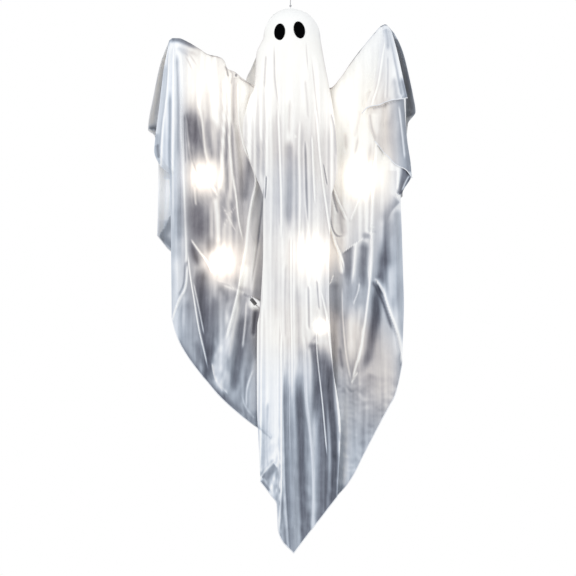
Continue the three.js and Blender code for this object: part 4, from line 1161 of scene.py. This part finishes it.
def makeGown():
    for arm, depth, panel, folds in (
        ("left", "front", gownLeftFront, leftFrontFolds), ("right", "front", gownRightFront, rightFrontFolds),
        ("left", "back", gownLeftBack, backFolds), ("right", "back", gownRightBack, backFolds),
    ):
        cloth = gownCloth(panel)
        folds(cloth)
        cloth.settle()
        cloths = sleeveCloths(cloth) if panel is gownRightFront else [cloth]

        def carry(part):
            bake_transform(part)

        makePanel(f"gown_{arm}_{depth}", cloths, 0.42, carry)
    print("gown made")


veil = {
    "hood": 60,  # the hood's radius, its height, and how far its middle lies below the crown
    "tall": 65,
    "centre": 60,
    "crown": 0.04,  # the angle of its first row
    "hoodRows": 30,
    "neck": (70, 170),  # between these drops the hood turns into the fall
    "rows": 1.15,
    "edge": (0.16, 2),  # painted shade along the head's edge: how much darker and how far in, and where that ends
    "edgeShadeEnd": (150, 60),
}
veilFront = {
    "side": -1,
    "grid": (200, 290),
    "warmth": 0.85,
    "edgeLeft": [
        (60, -60), (96, -76), (169, -80.5), (200, -92), (268, -105), (330, -91.6), (365, -79), (423, -60),
        (531, -60), (640, -65.5), (668, -67.5), (700, -73), (776, -74), (880, -73.5), (950, -70.5),
        (1043, -66),
    ],
    "edgeRight": [
        (60, 66.5), (76, 69), (125, 77.5), (171, 86), (265, 99), (357, 103), (420, 90), (620, 85), (776, 92),
        (920, 110), (1076, 103),
    ],
    "hem": [
        (-66, 1043), (-40, 1076), (-30, 1092), (-27, 1148), (-18, 1172), (5, 1197.5), (7, 1199.5), (9, 1197),
        (47, 1147), (93, 1089), (103, 1076),
    ],
    "depth": [(60, 60), (120, 62), (200, 64), (300, 68)],
    "edgeDepth": [(60, 0), (100, 2), (169, 18), (200, 36), (260, 56), (320, 60)],
    "lines": [
        (-80, -64, -66, 0), (-62, -45, -52, 4), (-40, -29, -34, -3), (-22, -14, -19, 3), (-8, -3, -6, -4),
        (6, 9, 6, 2), (22, 23, 18, -4), (37, 44, 34, 5), (50, 58, 50, -3), (62, 68, 66, 3), (72, 78, 84, -4),
        (85, 90, 103, 0),
    ],
    "fade": [
        (0, 1), (110, 0.99), (230, 0.97), (300, 0.9), (420, 0.88), (520, 0.94), (800, 0.93), (1000, 0.86),
        (1200, 0.74),
    ],
    "wrinkles": [
        (15, 300, 2, 31, 0.7, (110, 160, 0)), (6.5, 160, 0.6, 32, 0.45, (110, 160, 0)),
        (13, 18, 1, 33, 1.6, (880, 200, 0)),
    ],
    "leftFoot": {"from": -12, "over": 12, "wrinkle": (6, 9, 0.5, 34, 2.4, (880, 200, 0))},
    "folds": [
        # pleats from the eyes down
        ((-36, 74, -35, 125, -34, 158, -30, 191, -25, 224), 4, 1.8, -1, 0.9, 0.3, 0.3),
        ((-54, 103, -56, 136, -58, 176), 3.1, 3.1, -2, 0.93),
        ((34, 70, 36, 103, 39, 145), 2.4, 2.4, -1, 0.95, 0.4, 0.4),
        ((45, 103, 50, 147, 54, 184, 58, 224, 63, 268), 2.2, 3.1, -1, 0.93, 0.3, 0.3),
        ((32, 158, 36, 202, 39, 246), 4.4, 4.4, -1, 0.93),
        ((-1, 193, -3, 246, -3, 290), 6.6, 6.6, -3, 0.92, 0.3, 0.3),
        ((-3, 286, -1, 335, -1, 401, -3, 456, -3, 502), 9.9, 7.7, -4, 0.74, 0.12, 0.25, 2.4),
        ((-63, 277, -65, 324, -61, 383), 8.8, 6.6, -1, 0.8, 0.3, 0.3),
        ((-47, 277, -47, 335, -47, 405), 8.8, 8.8, 0, 0.9, 0.3, 0.3),
        ((12, 301, 12, 390, 12, 485), 6.6, 6.6, -1, 0.8, 0.2, 0.3),
        ((-53, 370, -54, 396, -56, 423), 1.3, 1.3, -2, 0.58),
        ((-43, 224, -41, 312, -41, 423, -43, 511), 4.4, 4.4, 1, 0.9),
        ((-28, 224, -25, 290, -21, 423, -21, 511), 2.6, 3.1, 3, 0.94),
        ((21, 246, 19, 312, 21, 423, 19, 507), 4, 4, 3, 0.9),
        ((32, 290, 34, 357, 36, 423, 39, 480), 3.1, 3.1, -3, 0.72, 0.15, 0.3),
        ((47, 279, 50, 357, 54, 434), 2.2, 3.1, 2, 0.96),
        ((72, 343, 76, 365, 81, 392), 1.3, 1.3, -1, 0.66),
        ((89, 229, 96, 260, 100, 295, 103, 330), 5.7, 1.3, -1, 0.86),
        ((-58, 392, -63, 445, -70, 511, -74, 577, -83, 643), 2, 2, -2, 0.72),
        ((56, 224, 63, 312, 72, 390, 81, 456, 89, 511), 2.4, 2.9, 4, 1),
        ((-10, 560, -12, 643, -10, 732), 4.4, 4.4, -2, 0.9),
        ((14, 599, 17, 666, 19, 754, 21, 802), 6.6, 7.7, -3, 0.86, 0.2, 0.2),
        ((39, 610, 41, 710), 3.5, 3.5, -2, 0.86),
        ((58, 599, 63, 666), 2.6, 2.6, -2, 0.84),
        ((58, 716, 47, 736, 34, 756), 4.4, 6.6, -1, 0.78, 0.3, 0.3),
        ((11, 284), 3.1, 2.6, 0, 1),
        # the long folds at the foot
        ((-56, 621, -56, 732, -56, 864, -58, 930), 13.2, 13.2, 0, 0.98, 0.3, 0.3),
        ((-32, 621, -32, 864, -32, 1010), 15.4, 11, 0, 0.97, 0.3, 0.1),
        ((-12, 776, -12, 864, -10, 952, -8, 1041, -3, 1129, 3, 1217), 4.4, 8.8, -5, 0.62, 0.2, 0.01, 2.6),
        ((3, 789, 3, 908, 6, 1019, 10, 1147, 14, 1217), 7.7, 7.7, -2, 0.66, 0.35, 0.01, 2.4),
        ((23, 767, 17, 820, 19, 873, 23, 952, 25, 1041, 30, 1151, 32, 1217),
         10.2, 15.4, -6, 0.47, 0.26, 0.01, 2.6),
        ((50, 734, 56, 780, 56, 864, 52, 930), 9.9, 8.8, -5, 0.55, 0.06, 0.3, 3),
        ((72, 732, 73, 820, 74, 930, 74, 1041, 70, 1151), 15.4, 13.2, -5, 0.46, 0.12, 0.01, 2.8),
        ((85, 749, 89, 864, 96, 952, 96, 1041, 89, 1129), 8.8, 8.8, -4, 0.42, 0.16, 0.01, 3),
        ((43, 1096, 36, 1151, 28, 1217), 6.6, 6.6, -3, 0.55, 0.3, 0.01),
        ((-2, 820, -2, 908, -1, 986), 1.3, 1.3, 3, 0.74),
        ((1, 502, 1, 643, 3, 776, 3, 886), 2, 2.4, 4, 0.95, 0.05, 0.3),
        ((30, 721, 32, 802, 34, 860, 41, 917, 47, 974, 50, 1041, 50, 1102, 47, 1162),
         4.9, 5.7, 6, 0.8, 0.1, 0.06),
        ((56, 701, 58, 754, 63, 807, 70, 869, 76, 935, 81, 992), 1.5, 1.8, 3, 0.93),
        ((67, 621, 81, 688, 87, 743, 94, 787, 103, 864, 109, 930, 118, 979), 2.4, 3.1, 6, 1, 0.1, 0.1),
        ((114, 855, 116, 930, 114, 1019, 109, 1063), 6.6, 11, 1, 0.9, 0.2, 0.1),
        ((-20, 710, -20, 908, -21, 1085, -28, 1173), 3.1, 2.2, 4, 0.98, 0.1, 0.1),
        ((-63, 643, -65, 864, -67, 1019), 2.6, 3.5, 3, 0.98),
        ((-50, 864, -52, 952, -50, 1019), 5.5, 5.5, -2, 0.87),
        ((-41, 1058, -36, 1107, -32, 1173), 5.7, 5.7, 1, 0.82),
        ((-17, 1054, -17, 1107, -10, 1184), 6.6, 4.4, -2, 0.62, 0.3, 0.02),
        # the gown's hem behind it and the corner that has turned over, both painted as light and shade
        ((-74, 917, -56, 931, -41, 945), 2.4, 1.3, 1, 1, 0.01, 0.1),
        ((-74, 923, -56, 937, -43, 950), 0.9, 6.6, 0, 0.74, 0.01, 0.1),
        ((-61, 952, -58, 988, -61, 1019), 7.5, 7.5, -1, 0.84, 0.3, 0.3),
        ((-32, 1008, -45, 1022, -58, 1037), 7.7, 7.7, 0, 0.58, 0.02, 0.02, 6),
        ((-64, 1041, -54, 1053, -45, 1063), 4.4, 3.1, 0, 0.56, 0.02, 0.1, 4),
        ((-32, 995, -50, 1012, -67, 1035), 1.1, 1.1, 1, 0.97),
    ],
}
veilBack = {
    "side": 1,
    "grid": (110, 170),
    "warmth": 0.4,
    "edgeLeft": [
        (60, -60), (75, -65.5), (96, -74), (125, -86.5), (155, -99.5), (200, -101), (300, -92), (500, -74),
        (905, -62),
    ],
    "edgeRight": [(60, 66.5), (76, 69), (125, 77.5), (171, 86), (300, 91), (500, 86), (905, 80)],
    "hem": [(-62, 905), (-20, 985), (12, 1040), (45, 990), (80, 905)],
    "depth": [(60, 60), (120, 62), (200, 66), (300, 70)],
    "edgeDepth": [(60, 0), (100, 2), (155, 16), (200, 40), (260, 56), (320, 60)],
    "lines": [
        (-90, -70, -62, 0), (-62, -52, -44, 6), (-36, -32, -26, -5), (-10, -9, -6, 7), (18, 16, 14, -5),
        (44, 40, 36, 6), (66, 62, 58, -5), (84, 85, 80, 0),
    ],
    "fade": [(0, 0.98), (70, 0.97), (100, 0.93), (200, 0.92), (420, 0.84), (700, 0.76), (1050, 0.7)],
    "wrinkles": backs["wrinkles"],
    # painted glow that lightens a shaded part of this panel's inside
    "glows": [((-90, 140), 0.2, 60)],
}


def veilCloth(panel):
    edges = [smoothLine(panel[key]) for key in ("edgeLeft", "edgeRight")]
    (columns, rows), (high, low), lines = panel["grid"], veil["neck"], panel["lines"]

    def wide(turn, drop):
        return np.where(turn < 0, -edges[0](drop), edges[1](drop))

    # the hood, half of a dome
    turns = [math.asin(line[0] / float(wide(line[0], low))) for line in lines[1:-1]]
    turns = [-math.pi / 2, *turns, math.pi / 2]
    u = np.linspace(0, 1, columns + 1)[None, :]
    turn = smoothLine(list(zip(np.arange(len(turns)) / (len(turns) - 1), turns)))(u)
    polar = np.linspace(veil["crown"], math.pi / 2, veil["hoodRows"])[:, None]
    ring = np.sin(polar)
    dome = [
        ring * wide(turn, veil["centre"]) * np.sin(turn), veil["hood"] * ring * np.cos(turn),
        veil["centre"] - veil["tall"] * np.cos(polar) + 0 * turn,
    ]
    # below it, the fall
    top, middle, hem, out = fallLines(lines, u)
    t = (np.arange(1, rows + 1)[:, None] / rows) ** veil["rows"]
    drop = veil["centre"] + (smoothLine(panel["hem"])(hem) - veil["centre"]) * t
    flat = ease((drop - high) / (low - high))
    x = along(top, middle, hem, t)
    strips = len(lines) - 1
    for edge, share, strip in ((edges[0], u * strips, 1), (edges[1], (1 - u) * strips, strips - 1)):
        inner = fallLines(lines, np.full_like(u, strip / strips))
        share = np.clip(share, 0, 1)
        x = np.where(share < 1, edge(drop) * (1 - share) + along(*inner[:3], t) * share, x)
    x = wide(turn, drop) * np.sin(turn) * (1 - flat) + x * flat
    deep, rim = smoothLine(panel["depth"])(drop), smoothLine(panel["edgeDepth"])(drop)
    y = rim + (deep - rim) * np.cos(turn) ** (1 - 0.4 * flat) + out * ease((drop - high) / drape["foldGrow"])
    x, y, drop = (np.concatenate(pair) for pair in zip(dome, (x, np.maximum(y, 0), drop)))
    cloth = Cloth(x, panel["side"] * y, drop, panel)
    # painted shade along the head's side edges, fading out below the neck
    inside = np.abs(np.abs(x) - np.abs(wide(x, np.maximum(drop, veil["centre"]))))
    (darker, reach), (start, fade) = veil["edge"], veil["edgeShadeEnd"]
    cloth.tone -= darker * np.exp(-inside / reach) * (1 - ease((drop - start) / fade))
    return cloth


def veilFrontFolds(cloth):
    cloth.ruffle()
    foot = cloth.panel["leftFoot"]
    cloth.wrinkle(*foot["wrinkle"], where=ease((foot["from"] - cloth.x) / foot["over"]))
    cloth.fold(cloth.panel["folds"])


def makeVeil():
    for depth, panel, folds in (("front", veilFront, veilFrontFolds), ("back", veilBack, backFolds)):
        cloth = veilCloth(panel)
        folds(cloth)
        cloth.settle()
        makePanel("head_veil_" + depth, [cloth], 0.36, lambda part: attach(part, "figure"))
    print("veil made")


makeGown()
makeVeil()


# Felt eyes, laid on the hood: middle, half width, half height and lean of each
eyes = {"eye_left": (-24, 53, 12.1, 19, 0.05), "eye_right": (19.5, 48.6, 12.4, 19.4, -0.2)}
eyeShape = {"rings": 14, "spokes": 56, "lift": 1.1, "thick": 0.9, "rim": 1.5, "wider": 1.1}


def eyePoints(x, drop, wide, tall, lean):
    rings, spokes = eyeShape["rings"], eyeShape["spokes"]
    turns = np.arange(spokes) * math.tau / spokes
    ring, turn = np.meshgrid(np.arange(rings + 1) / rings, turns, indexing="ij")
    across, down = wide * ring * np.cos(turn), tall * ring * np.sin(turn)
    x = x + across * math.cos(lean) - down * math.sin(lean)
    drop = drop + across * math.sin(lean) + down * math.cos(lean)
    high = np.maximum(veil["centre"] - drop, 0) * veil["hood"] / veil["tall"]
    aside = x / np.where(x > 0, eyeShape["wider"], 1)  # the hood is a little wider on the right
    deep = np.sqrt(np.maximum(veil["hood"] ** 2 - aside ** 2 - high ** 2, 1))
    outer = deep + eyeShape["lift"] + eyeShape["thick"] * np.sqrt(np.maximum(1 - ring ** 8, 0))
    points = np.stack([x, -outer, crownHeight - drop], axis=-1)
    rim = points[-1].copy()
    rim[:, 1] = eyeShape["rim"] - deep[-1]
    return np.concatenate([points, rim[None]]) * mm


def makeEyes():
    felt = mottled(
        "felt", (0.0002, 0.0002, 0.0003), (0.0022, 0.0022, 0.0026), (1800, 5, 0.7), (0.0003, 0.7),
        Roughness=0.95, Specular_IOR_Level=0.02,
    )
    for name, shape in eyes.items():
        points = eyePoints(*shape)
        index = np.arange(points.size // 3).reshape(points.shape[:2])
        after = np.roll(index, -1, axis=1)
        faces = np.stack([index[1:-1], index[2:], after[2:], after[1:-1]], axis=-1).reshape(-1, 4).tolist()
        faces += [(int(index[0, 0]), int(a), int(b)) for a, b in zip(index[1], after[1])]
        mesh = bpy.data.meshes.new("felt_" + name)
        mesh.from_pydata(points.reshape(-1, 3).tolist(), [], faces)
        tidyMesh(mesh)
        mesh.materials.append(felt)
        eye = added("felt_" + name, mesh)
        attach(eye, "figure")
        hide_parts(name)


def tidyMesh(mesh):
    # loose points go, twins join, and all faces look outward
    work = bmesh.new()
    work.from_mesh(mesh)
    bmesh.ops.remove_doubles(work, verts=work.verts, dist=0.00001)
    bmesh.ops.delete(work, geom=[v for v in work.verts if not v.link_faces], context="VERTS")
    bmesh.ops.recalc_face_normals(work, faces=work.faces)
    work.to_mesh(mesh)
    work.free()
    mesh.shade_smooth()


makeEyes()


# The finishes of the lamps and of all the solids that show as they are
def frosted():
    finish = Finish("frosted", Roughness=0.45, Emission_Strength=1.5)
    spot = finish.objectPlace()
    haze = finish.noise(spot, 90, 3)
    finish.set(
        Base_Color=finish.blend(haze, (1, 0.92, 0.78), (1, 0.97, 0.9)),
        Emission_Color=finish.blend(haze, (1, 0.84, 0.64), (1, 0.92, 0.78)),
    )
    finish.bump(finish.noise(spot, 1500, 3), 0.0001, 0.5)
    return finish.material


def brushedSteel():
    finish = Finish("steel", Metallic=1)
    lines = finish.noise(finish.stretched(finish.objectPlace(), 1, 1, 40), 300, 4, 0.6)
    finish.set(
        Base_Color=finish.blend(lines, (0.54, 0.55, 0.57), (0.68, 0.69, 0.71)), Roughness=lines * 0.2 + 0.2,
    )
    finish.bump(lines, 0.00005, 0.4)
    return finish.material


def wrappedCell():
    # a plain green sleeve that stops short of both steel ends
    finish = Finish("cell")
    low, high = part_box("battery_cell_1")
    spot = finish.objectPlace()
    height = (finish.node("SeparateXYZ", {"Vector": spot}, 2) - low.z) / (high.z - low.z)
    steel, sleeve = (1, 1, 1), (0, 0, 0)
    bare = finish.ramp(height, (0, steel), (0.03, steel), (0.035, sleeve), (0.93, sleeve), (0.935, steel))
    wear = finish.noise(spot, 220, 4)
    green = finish.blend(wear, (0.085, 0.22, 0.15), (0.115, 0.29, 0.2))
    finish.set(
        Base_Color=finish.blend(bare, green, (0.62, 0.63, 0.65)), Metallic=bare, Roughness=wear * 0.15 + 0.28,
    )
    finish.bump(wear, 0.00005, 0.4)
    return finish.material


def pressedFoam():
    # beads pressed together, each with a fine joint round it
    finish = Finish("foam", Roughness=0.85)
    where = {"Vector": finish.objectPlace(), "Scale": 420}
    joint = (finish.node("TexVoronoi", where, feature="DISTANCE_TO_EDGE") * 9).clamped()
    finish.set(Base_Color=finish.blend(joint, (0.8, 0.79, 0.76), (0.93, 0.92, 0.89)))
    finish.bump(joint, 0.0003, 0.6)
    return finish.material


finishes = {
    "white_plastic": plainFinish("white_plastic", (0.9, 0.9, 0.88), 0.42, 500, 0.00006, 0.03),
    "black_plastic": plainFinish("black_plastic", (0.02, 0.02, 0.022), 0.38, 700, 0.00008, 0.1),
    "coated_steel": plainFinish("coated_steel", (0.85, 0.85, 0.84), 0.5, 600, 0.0001, 0.04),
    "felt": plainFinish("felt_plain", (0.012, 0.012, 0.014), 0.95, 1500, 0.0003, 0.2),
    "cord": cordJacket,
    "steel": brushedSteel(),
    "cell": wrappedCell(),
    "foam": pressedFoam(),
    "line": twine,
    "frosted": frosted(),
    "gauze": gauze,
}

# Lamps: ten frosted globes in ribbed sockets; lengths up from a globe's middle
lampShape = {
    "globe": 11,
    "neck": (3, 5.5, 12.7),  # radius, length and height of its middle
    "socket": 4.2,
    "foot": 11.3,
    "tall": 10,
    "taper": 0.93,  # the socket's radius above its collar, as a share
    "cap": 2,
    "collar": 1.2,
    "ribs": 12,
    "rib": 0.3,
    "lower": 0.4,  # how far the ribs lie below the socket's middle
}


def lampGlobe(growth):
    radius, length, height = (value * mm for value in lampShape["neck"])
    ball = growth.node("MeshUVSphere", {"Segments": 40, "Rings": 24, "Radius": growth.given("Radius")})
    return growth.join(ball, growth.lifted(growth.drum(24, radius, length), height))


def lampSocket(growth):
    foot, tall, radius, cap, collar, rib = (
        lampShape[key] * mm for key in ("foot", "tall", "socket", "cap", "collar", "rib")
    )
    slim = radius * lampShape["taper"]
    body = growth.lifted(growth.drum(32, slim, tall - cap), foot + (tall - cap) / 2)
    cone = growth.node("MeshCone", {
        "Vertices": 32, "Radius Top": radius / 2, "Radius Bottom": slim, "Depth": cap,
    })
    ring = growth.node("MeshCircle", {"Vertices": growth.given("Ribs"), "Radius": slim})
    ribs = growth.scattered(ring, growth.drum(8, rib, tall - 2 * cap))
    return growth.join(
        body, growth.lifted(cone, foot + tall - cap),
        growth.lifted(growth.drum(32, growth.given("Radius"), collar), foot + collar / 2),
        growth.lifted(ribs, foot + tall / 2 - lampShape["lower"] * mm),
    )


def makeLamps():
    spots = [place(*spot) for spot in lampString["lamps"]]
    for kind, shape, finish, node in (
        ("globe", lampGlobe, "frosted", "light_globe_"),
        ("socket", lampSocket, "white_plastic", "lamp_socket_"),
    ):
        base = bpy.data.meshes.new("lamp_places")
        base.from_pydata(spots, [], [])
        growth = Growth("lamp_" + kind, Radius=lampShape[kind] * mm, Ribs=lampShape["ribs"])
        each = growth.scattered(growth.given("Geometry"), shape(growth))
        piece = growth.grow("lamp_" + kind + "s", each, finishes[finish], base)
        piece.data.shade_smooth()
        piece.data.set_sharp_from_angle(angle=0.7)
        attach(piece, "figure")
        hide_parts(*(node + format(number, "02") for number in range(1, len(spots) + 1)))


def makeFoam():
    for name, body in (
        ("head_ball", "figure"), ("hand_ball_left", "forearm_left"), ("hand_ball_right", "forearm_right"),
    ):
        low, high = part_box(name)
        radius = (high.x - low.x) / 2
        work = bmesh.new()
        bmesh.ops.create_icosphere(work, subdivisions=5, radius=radius)
        middle = Vector(((low.x + high.x) / 2, (low.y + high.y) / 2, low.z + radius))
        for vertex in work.verts:
            vertex.co += middle
            vertex.co.z = min(vertex.co.z, high.z)
        mesh = bpy.data.meshes.new("foam_" + name)
        work.to_mesh(mesh)
        work.free()
        mesh.shade_smooth()
        mesh.materials.append(finishes["foam"])
        ball = added("foam_" + name, mesh)
        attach(ball, body)
        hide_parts(name)


def dressSolids():
    for node in nodes.values():
        slot = node.data.materials[0].name.split(".")[0]
        node.data.materials.clear()
        node.data.materials.append(finishes[slot])


makeLamps()
makeFoam()
dressSolids()
print("lamps and solids dressed")


# Stage: white all round and soft light; it hangs in the air, so there is no floor
studio = {
    "world": (0.78, (0.97, 0.985, 1, 1)),
    "seen": (1, (1, 1, 1, 1)),
    "lamps": {
        # watts, size, where it hangs and what it points at
        "key": (26, 1.6, (-1.6, -2.6, 0.9), (0, 0, -0.6)),
        "fill": (9, 1.8, (2.2, -1.6, -0.4), (0, 0, -0.7)),
    },
}


def makeWorld():
    scene.world = bpy.data.worlds.new("studio")
    scene.world.use_nodes = True
    tree = scene.world.node_tree
    tree.nodes.clear()
    output = tree.nodes.new("ShaderNodeOutputWorld")
    mixed = tree.nodes.new("ShaderNodeMixShader")
    for socket, key in ((1, "world"), (2, "seen")):
        sky = tree.nodes.new("ShaderNodeBackground")
        sky.inputs["Strength"].default_value, sky.inputs["Color"].default_value = studio[key]
        tree.links.new(sky.outputs[0], mixed.inputs[socket])
    rays = tree.nodes.new("ShaderNodeLightPath")
    most = rays.outputs["Is Camera Ray"]
    for ray in ("Is Glossy Ray", "Is Transmission Ray"):
        higher = tree.nodes.new("ShaderNodeMath")
        higher.operation = "MAXIMUM"
        tree.links.new(most, higher.inputs[0])
        tree.links.new(rays.outputs[ray], higher.inputs[1])
        most = higher.outputs[0]
    tree.links.new(most, mixed.inputs[0])
    tree.links.new(mixed.outputs[0], output.inputs[0])


def makeStageLamps():
    for name, (watts, size, spot, target) in studio["lamps"].items():
        data = bpy.data.lights.new(name, "AREA")
        data.energy, data.size = watts, size
        lamp = added(name, data)
        lamp.location = spot
        lamp.rotation_euler = (Vector(target) - Vector(spot)).to_track_quat("-Z", "Y").to_euler()


makeWorld()
makeStageLamps()
print("stage set")

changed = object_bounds()
{"cad": [list(corner) for corner in cadBox], "visual": [list(corner) for corner in changed]}
